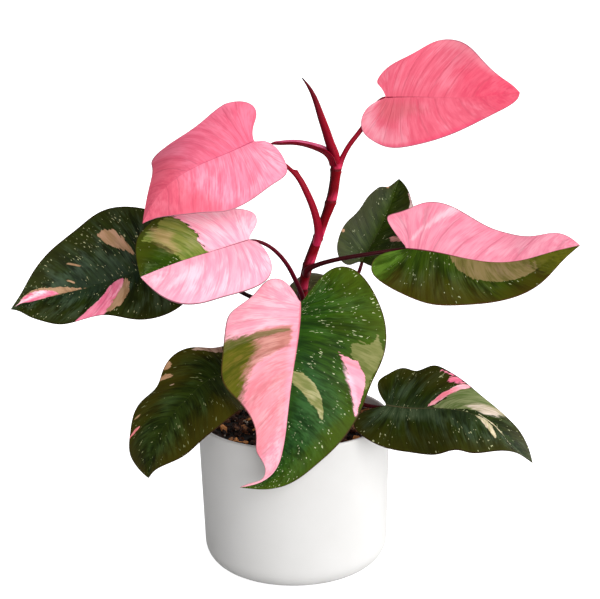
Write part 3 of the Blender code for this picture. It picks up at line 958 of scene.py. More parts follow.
    def lower_material(self, scale: Array) -> Material:
        """Builds the lower face's material.

        Args:
            scale: Length and half width of the blade.

        Returns:
            The material, duller and redder than the upper one, with raised veins.
        """
        look = self.finish
        skin = Skin(self.name + "_lower", look.roughness + 0.12, LEAF_SPECULAR)
        graph = skin.graph
        row, share, place = self.blade_place(graph, scale)
        veins = graph.group(
            self.effects.veins, Vein=graph.attribute("vein"), Across=share, Width=0.12
        )
        tone = self.streaks(graph, place, 6.0, 0.35).ramp(0.25, 0.75)
        colour = graph.mix(tone, tuple(0.82 * part for part in look.under), look.under)
        away = share * float(scale[1])
        rib = away.ramp(0.8, 2.4, 1.0, 0.0)
        lines = graph.math("MAXIMUM", rib, veins["Line"] * 0.6)
        colour = graph.mix(lines, colour, look.under_vein)
        colour = graph.mix(self.near_junction(row, away), colour, look.junction)
        grain = graph.group(self.effects.grain, Place=place, Scale=0.3)
        return skin.done(colour, grain["Grain"] * 0.3 + rib, 0.1, 0.5)


# Stalks

STALK_SPECULAR = 0.06
LINE_SAMPLES = 600


@dataclass
class Tube:
    """A round stalk of changing radius along a smooth line, with closed ends."""

    name: str
    line: tuple[Triple, ...]
    radii: tuple[float, ...]
    reference: Triple
    rows: int = 90
    around: int = 24

    def frame_at(self, at: Array) -> tuple[Array, Array, Array]:
        """Finds the line's places and its two cross directions.

        Args:
            at: Shares of the line's length.

        Returns:
            Places, the direction near the reference, and the one square to it.
        """
        fine = natural_spline(self.line, LINE_SAMPLES)
        steps = lengths(fine)
        self.length = float(steps[-1])
        place = between(at * self.length, steps, fine)
        tangents = unit(np.gradient(fine, steps, axis=0))
        tangent = unit(between(at * self.length, steps, tangents))
        reference = np.asarray(self.reference, float)
        first = unit(reference - (tangent @ reference)[:, None] * tangent)
        return place, first, np.cross(tangent, first)

    def radius(self, at: Array, angle: Array) -> Array:
        """Returns the radius at shares of the length and angles round it."""
        knots = lengths(self.line)
        return np.interp(at, knots / knots[-1], self.radii)

    def mesh(self) -> Object:
        """Models the stalk by rolling up a grid and closing its seam and ends.

        Returns:
            The object, without a material.
        """
        obj, at, column = grid(self.name, self.around, self.rows)
        angle = (1 - column) * math.pi
        place, first, second = self.frame_at(at)
        ends = np.sqrt(np.clip(np.minimum(at, 1 - at) * self.rows, 0, 1))
        outward = np.cos(angle)[:, None] * first + np.sin(angle)[:, None] * second
        place_vertices(obj, place + (self.radius(at, angle) * ends)[:, None] * outward)
        with editing(obj):
            weld(SEAM_GAP)
            bpy.ops.mesh.normals_make_consistent(inside=False)
        smooth(obj, 60)
        return obj


@dataclass
class Petiole(Tube):
    """A petiole with a widened foot, a shallow channel on top and an end under the midrib."""

    foot: float = 0.35
    foot_length: float = 7.0
    sheath: float = 0.0
    sheath_height: float = 2.3

    def radius(self, at: Array, angle: Array) -> Array:
        """Finds the radius.

        Args:
            at: Shares of the length.
            angle: Angles round it.

        Returns:
            The radii, with the channel and any sheath's edges.
        """
        away = at * self.length
        wide = super().radius(at, angle) * (
            1 + self.foot * np.exp(-((away / self.foot_length) ** 2))
        )
        top = np.clip(np.sin(angle), 0, 1)
        channel = 1 - 0.14 * top**6 * smooth_step(0.05, 0.2, at) * (1 - smooth_step(0.85, 1, at))
        if not self.sheath:
            return wide * channel
        rise = smooth_step(3.0, 10.0, away) * (1 - 0.45 * away / self.sheath)
        drop = 1 - smooth_step(self.sheath, self.sheath + 1.2, away)
        tooth = 0.45 * np.exp(-(((away - self.sheath) / 2.5) ** 2))
        edges = np.exp(-(((np.abs(angle - math.pi / 2) - 0.45) / 0.3) ** 2))
        return wide * channel + self.sheath_height * edges * (rise + tooth) * drop


@dataclass(frozen=True)
class StalkFinish:
    """Colours of a stalk: lit side, shaded side, the tone of its foot and of its far end."""

    lit: Triple
    shaded: Triple
    foot: Triple
    end: Triple
    roughness: float = 0.34

    def material(self, name: str, effects: Effects, length: float) -> Material:
        """Builds the material on the stalk's own UV map.

        Args:
            name: Its name.
            effects: The shared groups.
            length: The stalk's length, for the scale of its grain.

        Returns:
            The material.
        """
        skin = Skin(name, self.roughness, STALK_SPECULAR)
        graph = skin.graph
        cosine, sine, along = graph.round()
        place = graph.join(cosine * 4.0, sine * 4.0, along * (length / 9))
        tones = graph.group(effects.grain, Place=place, Scale=0.6)
        share = (sine * 0.28 + 0.25 + tones["Clouds"] * 0.6).clamped()
        colour = graph.mix(share, self.shaded, self.lit)
        colour = graph.mix(along.ramp(0.0, 0.16, 0.85, 0.0), colour, self.foot)
        colour = graph.mix(along.ramp(0.82, 1.0, 0.0, 0.8), colour, self.end)
        rough = tones["Clouds"] * 0.15 + (self.roughness - 0.07)
        return skin.done(colour, tones["Grain"], 0.12, 0.5, rough)


@dataclass
class Leaf:
    """One leaf: its petiole and its blade."""

    name: str
    sheet: Sheet
    stalk: Stalk
    finish: LeafFinish
    stalk_finish: StalkFinish
    slot: Slot
    effects: Effects
    seed: float
    sheath: float = 0.0
    under_rib: float = 11.0
    first_under: float = 0.35
    below_rib: Pair = (1.5, 1.3)
    end_shares: Pair = (0.85, 0.35)

    def petiole_line(self) -> tuple[Triple, ...]:
        """Lengthens the petiole's line.

        Returns:
            The line, carried on below the first stretch of the midrib.
        """
        bent = BentSheet(self.sheet, 10)
        at = self.under_rib * np.array([self.first_under, 1])
        drop = np.array(self.below_rib)[:, None] * between(at, bent.at, bent.normal)
        return (*self.stalk.line, *map(tuple, between(at, bent.at, bent.line) - drop))

    def build(self) -> None:
        """Models and dresses the petiole and the blade."""
        line = self.petiole_line()
        start, end = (np.asarray(point, float) for point in (line[0], self.stalk.line[-1]))
        across = unit(np.cross((0, 0, 1), end - start))
        foot, top = self.stalk.radii
        ends = (share * top for share in self.end_shares)
        radii = (*np.linspace(foot, top, len(self.stalk.line)), *ends)
        name = self.name + "_petiole"
        petiole = Petiole(name, line, radii, tuple(across), sheath=self.sheath)
        stalk = petiole.mesh()
        skin = self.stalk_finish.material(name, self.effects, petiole.length)
        dress(stalk, Slot.PETIOLE, name, skin)
        name = self.name + "_blade"
        Blade(name, self.sheet, self.finish, self.slot, self.effects, self.seed).build()


@dataclass
class Shoot(Tube):
    """A tube that is dressed in a material of its own."""

    def material(self, effects: Effects) -> Material:
        """Builds the material."""
        raise NotImplementedError

    def build(self, effects: Effects) -> None:
        """Models and dresses the piece."""
        dress(self.mesh(), Slot.STEM, self.name, self.material(effects))


@dataclass
class Stem(Shoot):
    """The stem, with a swollen ring and a scar at each node."""

    nodes: tuple[float, ...] = (219.2, 239.5, 261.5, 288.3, 312.5)
    ring: float = 0.45
    ring_width: float = 1.6
    scar: float = 0.3
    # shaded and lit are painted shade and painted light on the same crimson
    shaded: Triple = (46, 1, 4)
    lit: Triple = (130, 3, 18)
    young_pink_and_highlight: Triple = (206, 52, 90)
    scarred: Triple = (58, 10, 14)

    def radius(self, at: Array, angle: Array) -> Array:
        """Finds the radius.

        Args:
            at: Shares of the length.
            angle: Angles round it.

        Returns:
            The radii, with each node's ring and scar.
        """
        height = self.frame_at(at)[0][:, 2]
        radius = super().radius(at, angle) + 0.05 * np.cos(7 * angle + 3 * at)
        for index, node in enumerate(self.nodes):
            away = height - node - 0.7 * np.cos(angle + 2.2 * index)
            radius += self.ring * np.exp(-((away / self.ring_width) ** 2))
            radius -= self.scar * np.exp(-(((away - 1.3) / 0.55) ** 2))
        return radius

    def material(self, effects: Effects) -> Material:
        """Builds the stem's material.

        Args:
            effects: The shared groups.

        Returns:
            The material: crimson with painted shade on its left and painted light on its right,
            a scar at each node, and pink above each node, shown mostly on the lit side, where it
            is partly a painted highlight.
        """
        skin = Skin(self.name, 0.36, STALK_SPECULAR)
        graph = skin.graph
        cosine, sine, _ = graph.round()
        level = graph.split(graph.millimetres())[2]
        place = graph.join(cosine * 4.0, sine * 4.0, level * 0.22)
        tones = graph.group(effects.grain, Place=place, Scale=0.5)
        # painted light and shade: the right side is mixed toward lit, the left toward shaded
        share = (cosine * 0.42 + 0.05 + tones["Clouds"] * 0.9).clamped()
        colour = graph.mix(share, self.shaded, self.lit)
        for node in self.nodes:
            start = node + 1.0
            zone = level.ramp(start, node + 3.0) * level.ramp(node + 3.0, node + 11.0, 0.7, 0.0)
            # young pink above the node, kept mostly to the lit side, where it is partly a painted
            # highlight
            colour = graph.mix(zone * share.ramp(0.15, 0.8), colour, self.young_pink_and_highlight)
            scar = graph.math("ABSOLUTE", level - start).ramp(0.3, 1.3, 0.75, 0.0)
            colour = graph.mix(scar * tones["Clouds"].ramp(0.35, 0.6), colour, self.scarred)
        return skin.done(colour, tones["Grain"], 0.2, 0.6, tones["Clouds"] * 0.2 + 0.27)


@dataclass
class Spike(Shoot):
    """The rolled new leaf: a slender spike whose outer edge stands up as a seam."""

    seam_start: float = 3.4
    seam_turn: float = 2.4
    seam: float = 0.16
    shaded: Triple = (62, 1, 10)
    lit: Triple = (144, 6, 32)
    upper: Triple = (70, 4, 16)
    tip: Triple = (16, 4, 8)

    def radius(self, at: Array, angle: Array) -> Array:
        """Finds the radius.

        Args:
            at: Shares of the length.
            angle: Angles round it.

        Returns:
            The radii, with the seam.
        """
        full = 2 * math.pi
        turned = (angle - self.seam_start - self.seam_turn * at) % full
        step = turned / full - smooth_step(full - 0.5, full, turned)
        return super().radius(at, angle) * (
            1 + self.seam * step * (1 - smooth_step(0.85, 1.0, at))
        )

    def material(self, effects: Effects) -> Material:
        """Builds the spike's material.

        Args:
            effects: The shared groups.

        Returns:
            The material: crimson with painted light on its right and painted shade on its left,
            a dark upper half and a black tip.
        """
        skin = Skin(self.name, 0.34, STALK_SPECULAR)
        graph = skin.graph
        cosine, sine, along = graph.round()
        place = graph.join(cosine * 3.0, sine * 3.0, along * 6.0)
        tones = graph.group(effects.grain, Place=place, Scale=0.6)
        # painted light and shade: lighter on the right side, darker on the left
        share = (cosine * 0.45 + 0.25 + tones["Clouds"] * 0.5).clamped()
        colour = graph.mix(share, self.shaded, self.lit)
        colour = graph.mix(along.ramp(0.45, 0.9, 0.0, 0.8), colour, self.upper)
        colour = graph.mix(along.ramp(0.93, 0.99), colour, self.tip)
        return skin.done(colour, tones["Grain"], 0.12, 0.5)


@dataclass
class Cataphyll:
    """The opened sheath of the last leaf: a folded strip with its hollow side up."""

    sheet: Sheet
    effects: Effects
    name: str = "cataphyll"
    rows: int = 80
    columns: int = 10
    thickness: float = 0.8
    # pale mauve inner face and dark red outer face: partly their own colours, partly painted light
    # on the upturned hollow and painted shade on the outer side
    inner: tuple[Triple, Triple] = ((196, 96, 128), (158, 48, 84))
    outer: tuple[Triple, Triple] = ((128, 4, 30), (80, 1, 14))
    tip: Triple = (110, 20, 40)

    def build(self) -> None:
        """Models and dresses the sheath."""
        obj, row, column = grid(self.name, 2 * self.columns, self.rows)
        bent = BentSheet(self.sheet, self.rows)
        lift = np.full(len(row), self.thickness / 2)
        place_vertices(obj, bent.points(*bent.flat(row, column), column, lift))
        thicken(obj, self.thickness, 1)
        smooth(obj, 60)
        inner = self.skin("cataphyll_inner", *self.inner, 0.42)
        outer = self.skin("cataphyll_outer", *self.outer, 0.34)
        dress(obj, Slot.STEM, self.name, inner, outer)

    def skin(self, name: str, tone: Triple, shade: Triple, roughness: float) -> Material:
        """Builds the material of one face of the sheath.

        Args:
            name: Its name.
            tone: Its lighter colour.
            shade: Its darker colour.
            roughness: Its roughness.

        Returns:
            The material.
        """
        skin = Skin(name, roughness, STALK_SPECULAR)
        graph = skin.graph
        across, along, _ = graph.split(graph.node("UVMap"))
        place = graph.join(across * 14.0, along * 7.0)
        tones = graph.group(self.effects.grain, Place=place, Scale=0.7)
        colour = graph.mix(tones["Clouds"].ramp(0.3, 0.65), shade, tone)
        colour = graph.mix(along.ramp(0.9, 1.0), colour, self.tip)
        return skin.done(colour, tones["Grain"], 0.1, 0.5)


# Pot and soil


@dataclass
class Pot:
    """The plain white pot, turned from its profile."""

    effects: Effects
    name: str = "pot"
    height: float = 119.0
    rim_radius: float = 75.0
    foot_radius: float = 71.6
    wall: float = 3.0
    edge_radius: float = 18.8
    floor: float = 5.0
    straight_top: float = 112.0
    segments: int = 128
    arc_steps: int = 10
    straight_steps: int = 8
    glaze_tones: tuple[Triple, Triple] = ((197, 196, 194), (205, 204, 203))
    # painted brownish shade for the inner wall below the rim
    inner_wall_shade: Triple = (150, 132, 116)

    def side_radius(self, z: float) -> float:
        """Returns the radius of the straight outer side at a height."""
        return self.foot_radius + (self.rim_radius - self.foot_radius) * z / self.height

    def arc(self, centre: Pair, radius: float, start: float, end: float) -> list[Pair]:
        """Returns points (r, z) on an arc between two angles in degrees, both ends included."""
        angles = np.radians(np.linspace(start, end, self.arc_steps + 1))
        return [
            (centre[0] + radius * math.cos(a), centre[1] + radius * math.sin(a)) for a in angles
        ]

    def profile(self) -> list[Pair]:
        """Draws the pot's section.

        Returns:
            Points (r, z) from the foot over the lip to the inner floor.
        """
        lip = self.wall / 2
        edge = (self.side_radius(self.edge_radius) - self.edge_radius, self.edge_radius)
        inner_edge = self.edge_radius - self.wall
        low = self.floor + inner_edge
        inner = (self.side_radius(low) - self.wall - inner_edge, low)
        levels = np.linspace(self.edge_radius, self.straight_top, self.straight_steps + 1)[1:]
        return [
            *self.arc(edge, self.edge_radius, -90, 0),
            *((self.side_radius(z), z) for z in levels),
            *self.arc((self.rim_radius - lip, self.height - lip), lip, 0, 180),
            *self.arc(inner, inner_edge, 0, -90),
        ]

    def build(self) -> None:
        """Models the pot by extruding and scaling one ring along the profile, and dresses it."""
        only()
        profile = self.profile()
        bpy.ops.mesh.primitive_circle_add(
            vertices=self.segments, radius=profile[0][0] * MM, location=(0, 0, 0),
            fill_type="NGON",
        )
        obj = named(self.name)
        with editing(obj):
            bpy.ops.mesh.select_mode(type="EDGE")
            for (before, low), (after, high) in zip(profile, profile[1:]):
                push_ring(high - low, after / before, high)
            bpy.ops.mesh.edge_face_add()
            bpy.ops.mesh.select_all(action="SELECT")
            bpy.ops.mesh.normals_make_consistent(inside=False)
        smooth(obj, 40)
        dress(obj, Slot.POT, self.name, self.glaze())

    def glaze(self) -> Material:
        """Builds the glaze.

        Returns:
            A satin white material, faintly uneven, with painted brownish shade on the inner
            wall below the rim.
        """
        skin = Skin("pot_glaze", 0.42)
        skin.feed({"Coat Weight": 0.05, "Coat Roughness": 0.25})
        graph = skin.graph
        place = graph.millimetres()
        clouds = graph.group(self.effects.grain, Place=place, Scale=0.03)["Clouds"]
        colour = graph.mix(clouds, *self.glaze_tones)
        x, y, z = graph.split(place)
        away = graph.math("SQRT", x * x + y * y)
        # painted shade: the inner wall below the rim is darkened and browned, standing in for shade
        # and light bounced off the soil
        inside = away.ramp(self.rim_radius - 2.8, self.rim_radius - 1.5, 1.0, 0.0)
        inner_wall_shade = inside * z.ramp(90.0, 100.0) * z.ramp(106.0, 118.0, 1.0, 0.15) * 0.7
        colour = graph.mix(inner_wall_shade, colour, self.inner_wall_shade)
        return skin.done(colour, clouds, 0.3, 0.15, clouds * 0.12 + 0.36)


@dataclass
class Soil:
    """The potting mix: a flat fill with bark chips, crumbs and perlite heaped on top."""

    effects: Effects
    name: str = "soil"
    top: float = 108.0
    radius: float = 71.2
    mound: float = 2.0
    rings: int = 60
    segments: int = 120
    wall: tuple[Pair, ...] = ((0.965, 22.0), (0.74, 6.0))
    rim_gap: float = 2.5
    stem_gap: float = 7.0
    crumbs: int = 900
    chips: int = 70
    grains: int = 80
    size_bias: float = 1.8
    lift: float = 0.28
    seed: int = 11

    def height(self, x: float, y: float) -> float:
        """Finds how high the loose bits are heaped: a low mound with lumps of three sizes.

        Args:
            x: Place to the right of the pot's axis.
            y: Place behind it.

        Returns:
            The height.
        """
        away = math.hypot(x, y) / self.radius
        sizes = ((1.3, 0, 9), (0.8, 5, 3.6), (0.35, 9, 1.5))
        lumps = sum(rise * noise.noise(Vector((x, y, z)) / size) for rise, z, size in sizes)
        return self.top + (1 - away**4) * (self.mound * (1 - away**2) + lumps)

    def fill(self) -> Object:
        """Models the fill: a disc of rings with a wall that narrows to the bottom.

        Returns:
            The object, without a material.
        """
        only()
        bpy.ops.mesh.primitive_circle_add(
            vertices=self.segments, radius=self.radius * MM, location=(0, 0, self.top * MM),
            fill_type="NOTHING",
        )
        obj = named(self.name)
        bpy.ops.object.transform_apply(location=True)
        with editing(obj):
            bpy.ops.mesh.select_mode(type="EDGE")
            for ring in range(self.rings, 1, -1):
                push_ring(0.0, (ring - 1) / ring, self.top)
            bpy.ops.mesh.edge_face_add()
            bpy.ops.mesh.select_all(action="DESELECT")
        rim = (self.radius - 0.01) * MM
        for vertex in obj.data.vertices:
            vertex.select = math.hypot(vertex.co.x, vertex.co.y) > rim
        for edge in obj.data.edges:
            edge.select = all(obj.data.vertices[index].select for index in edge.vertices)
        bpy.ops.object.mode_set(mode="EDIT")
        level = self.top
        for share, low in self.wall:
            push_ring(low - level, share, low)
            level = low
        bpy.ops.mesh.edge_face_add()
        bpy.ops.mesh.select_all(action="SELECT")
        bpy.ops.mesh.normals_make_consistent(inside=False)
        bpy.ops.object.mode_set(mode="OBJECT")
        smooth(obj, 80)
        return obj

    def scatter(
        self, name: str, shape: Object, count: int, rng: np.random.Generator, sizes: Pair,
        tilt: float,
    ) -> Object:
        """Copies one shape over the surface and joins the copies.

        Args:
            name: Name of the joined piece.
            shape: The shape, at the origin, about one millimetre in size.
            count: How many copies.
            rng: Seeded random numbers.
            sizes: Smallest and largest size.
            tilt: How far a copy may tilt, in radians.

        Returns:
            The joined object.
        """
        base = positions(shape)
        faces = [tuple(face.vertices) for face in shape.data.polygons]
        bpy.data.objects.remove(shape, do_unlink=True)
        places, polygons, tones = [], [], []
        while len(polygons) < count * len(faces):
            radius = (self.radius - self.rim_gap) * math.sqrt(rng.random())
            turn = rng.random() * 2 * math.pi
            x, y = radius * math.cos(turn), radius * math.sin(turn)
            if radius < self.stem_gap:
                continue
            size = sizes[0] + (sizes[1] - sizes[0]) * rng.random() ** self.size_bias
            spin = Matrix.Rotation(rng.random() * 2 * math.pi, 3, "Z")
            lean = Matrix.Rotation((rng.random() - 0.5) * 2 * tilt, 3, "X")
            roll = Matrix.Rotation((rng.random() - 0.5) * 2 * tilt, 3, "Y")
            stretch = np.array([1 + 0.5 * rng.random(), 0.7 + 0.4 * rng.random(), 1.0])
            turned = (base * stretch * size) @ np.array(spin @ lean @ roll).T
            lift = self.lift * size * base[:, 2].max()
            start = len(places)
            places.extend(turned + (x, y, self.height(x, y) + lift))
            polygons.extend(tuple(start + index for index in face) for face in faces)
            tones.extend([rng.random()] * len(base))
        mesh = bpy.data.meshes.new(name)
        mesh.from_pydata([tuple(point * MM) for point in places], [], polygons)
        obj = bpy.data.objects.new(name, mesh)
        bpy.context.scene.collection.objects.link(obj)
        add_values(obj, "tone", np.array(tones))
        smooth(obj, 35)
        return obj

    def crumb(self, rough: float, seed: float, flat: float) -> Object:
        """Models one uneven crumb, about one unit across.

        Args:
            rough: How uneven it is.
            seed: Start of its noise.
            flat: Its height against its width.

        Returns:
            The crumb.
        """
        only()
        bpy.ops.mesh.primitive_ico_sphere_add(subdivisions=2, radius=0.5)
        obj = bpy.context.object
        for vertex in obj.data.vertices:
            vertex.co *= 1 + rough * noise.noise(vertex.co * 2.3 + Vector((seed, 0, 0)))
            vertex.co.z *= flat
        return obj

    def chip(self) -> Object:
        """Models one bark chip: a flat block with pulled-in corners.

        Returns:
            The chip, about one unit long.
        """
        only()
        bpy.ops.mesh.primitive_cube_add(size=1)
        obj = bpy.context.object
        with editing(obj):
            bpy.ops.transform.resize(value=(1.0, 0.62, 0.3), center_override=(0, 0, 0))
            bpy.ops.mesh.subdivide(number_cuts=2)
        for vertex in obj.data.vertices:
            pull = 1 - 0.22 * (abs(vertex.co.x) > 0.4) - 0.1 * (abs(vertex.co.y) > 0.25)
            vertex.co.y *= pull
            vertex.co.z *= pull
            vertex.co.z += 0.05 * noise.noise(vertex.co * 4)
            vertex.co.x += 0.08 * noise.noise(vertex.co * 3 + Vector((0, 4, 0)))
        return obj

    def build(self) -> None:
        """Models and dresses the fill and what lies on it."""
        rng = np.random.default_rng(self.seed)
        fill = self.fill()
        crumb = self.crumb(0.7, 3.0, 0.7)
        crumbs = self.scatter("soil_crumbs", crumb, self.crumbs, rng, (1.4, 6.0), 1.5)
        chips = self.scatter("bark_chips", self.chip(), self.chips, rng, (4.5, 12.0), 0.6)
        grain = self.crumb(0.5, 8.0, 0.8)
        grains = self.scatter("perlite", grain, self.grains, rng, (1.0, 2.8), 1.0)
        for obj, *look in (
            (fill, "potting_mix", (34, 20, 14), (10, 6, 4), 0.9),
            (crumbs, "crumbs", (84, 46, 26), (12, 7, 5), 0.9, 3.0),
            (chips, "bark", (226, 150, 84), (60, 28, 14), 0.75, 1.5),
            (grains, "perlite", (206, 196, 182), (150, 138, 122), 0.85),
        ):
            dress(obj, Slot.SOIL, self.name, self.earth(*look))

    def earth(
        self, name: str, tone: Triple, shade: Triple, roughness: float, rare: float = 1.0
    ) -> Material:
        """Builds a rough earthy material whose tone changes from bit to bit.

        Args:
            name: Its name.
            tone: Its lighter colour.
            shade: Its darker colour.
            roughness: Its roughness.
            rare: How rare the lighter bits are.

        Returns:
            The material.
        """
        skin = Skin(name, roughness)
        graph = skin.graph
        tones = graph.group(self.effects.grain, Place=graph.millimetres(), Scale=0.35)
        bit = graph.math("POWER", graph.attribute("tone"), rare) * 0.9 - 0.15
        share = (bit + tones["Clouds"].ramp(0.3, 0.7, 0.0, 0.5)).clamped()
        colour = graph.mix(share, shade, tone)
        return skin.done(colour, tones["Grain"] + tones["Clouds"], 0.6, 0.8)


# Studio


@dataclass
class Studio:
    """The pale floor, the soft light and the camera.

    Each light has a name, the direction it comes from, its strength and its width in degrees.
    """

    elevation: float = 15.74
    roll: float = 1.07
    distance: float = 1300.0
    target: Triple = (6.6, 0.0, 212.5)
    lens: float = 101.556
    sensor: float = 36.0
    lights: tuple = (
        ("front", (0.45, -0.85, 0.27), 3.9, 60.0),
        ("side", (0.9, 0.35, 0.37), 2.6, 50.0),
    )
    surroundings: float = 0.38
    seen_surroundings: float = 1.02
    floor_size: float = 12.0
    floor_drop: float = 0.2
    floor_glow: float = 0.92

    def add_camera(self) -> None:
        """Adds the camera at the photograph's viewing angle."""
        angle, roll = math.radians(self.elevation), math.radians(self.roll)
        ahead = Vector((0, math.cos(angle), -math.sin(angle)))
        up = Vector((0, math.sin(angle), math.cos(angle)))
        side = Vector((1, 0, 0))
        right = side * math.cos(roll) - up * math.sin(roll)
        top = side * math.sin(roll) + up * math.cos(roll)
        turn = Matrix((right, top, -ahead)).transposed().to_4x4()
        data = bpy.data.cameras.new("camera")
        data.lens = self.lens
        data.sensor_width = self.sensor
        data.sensor_fit = "HORIZONTAL"
        camera = bpy.data.objects.new("camera", data)
        bpy.context.scene.collection.objects.link(camera)
        place = (Vector(self.target) - ahead * self.distance) * MM
        camera.matrix_world = Matrix.Translation(place) @ turn
        bpy.context.scene.camera = camera

    def add_light(self) -> None:
        """Adds a soft light in front, one from the right and the even white surroundings."""
        for name, place, strength, angle in self.lights:
            data = bpy.data.lights.new(name, "SUN")
            data.energy = strength
            data.angle = math.radians(angle)
            sun = bpy.data.objects.new(name, data)
            bpy.context.scene.collection.objects.link(sun)
            sun.rotation_euler = Vector(place).to_track_quat("Z", "Y").to_euler()
        world = bpy.data.worlds.new("surroundings")
        world.use_nodes = True
        graph = Graph(world.node_tree)
        background = world.node_tree.nodes["Background"]
        graph.put(WHITE, background.inputs["Color"])
        seen = graph.node("LightPath", output="Is Camera Ray")
        strength = seen * (self.seen_surroundings - self.surroundings) + self.surroundings
        graph.put(strength, background.inputs["Strength"])
        bpy.context.scene.world = world

    def add_floor(self) -> None:
        """Adds the plain pale floor, on which only contact shadows show."""
        only()
        place = (0, 0, -self.floor_drop * MM)
        bpy.ops.mesh.primitive_plane_add(size=self.floor_size, location=place)
        floor = named("floor")
        skin = Skin("floor_white", 0.9)
        glow = skin.graph.node("LightPath", output="Is Camera Ray") * self.floor_glow
        skin.feed({"Base Color": PALE, "Emission Color": WHITE, "Emission Strength": glow})
        floor.data.materials.append(skin.material)

    def build(self) -> None:
        """Sets up the whole studio."""
        self.add_camera()
        self.add_light()
        self.add_floor()
        bpy.context.scene.view_settings.view_transform = "Standard"


# Shapes and finishes of this plant

WHITE = (255, 255, 255)
PALE = (212, 212, 212)
PINK_DEEP = (222, 104, 136)
PINK = ((236, 138, 162), PINK_DEEP)
TAN = ((176, 140, 108), (146, 112, 80))
BROWN_TAN = (TAN[0], (146, 108, 74))
RED_TAN = (TAN[0], (150, 112, 84))
MARGIN_DARK = (36, 14, 10)
MARGIN_PINK = (158, 112, 124)

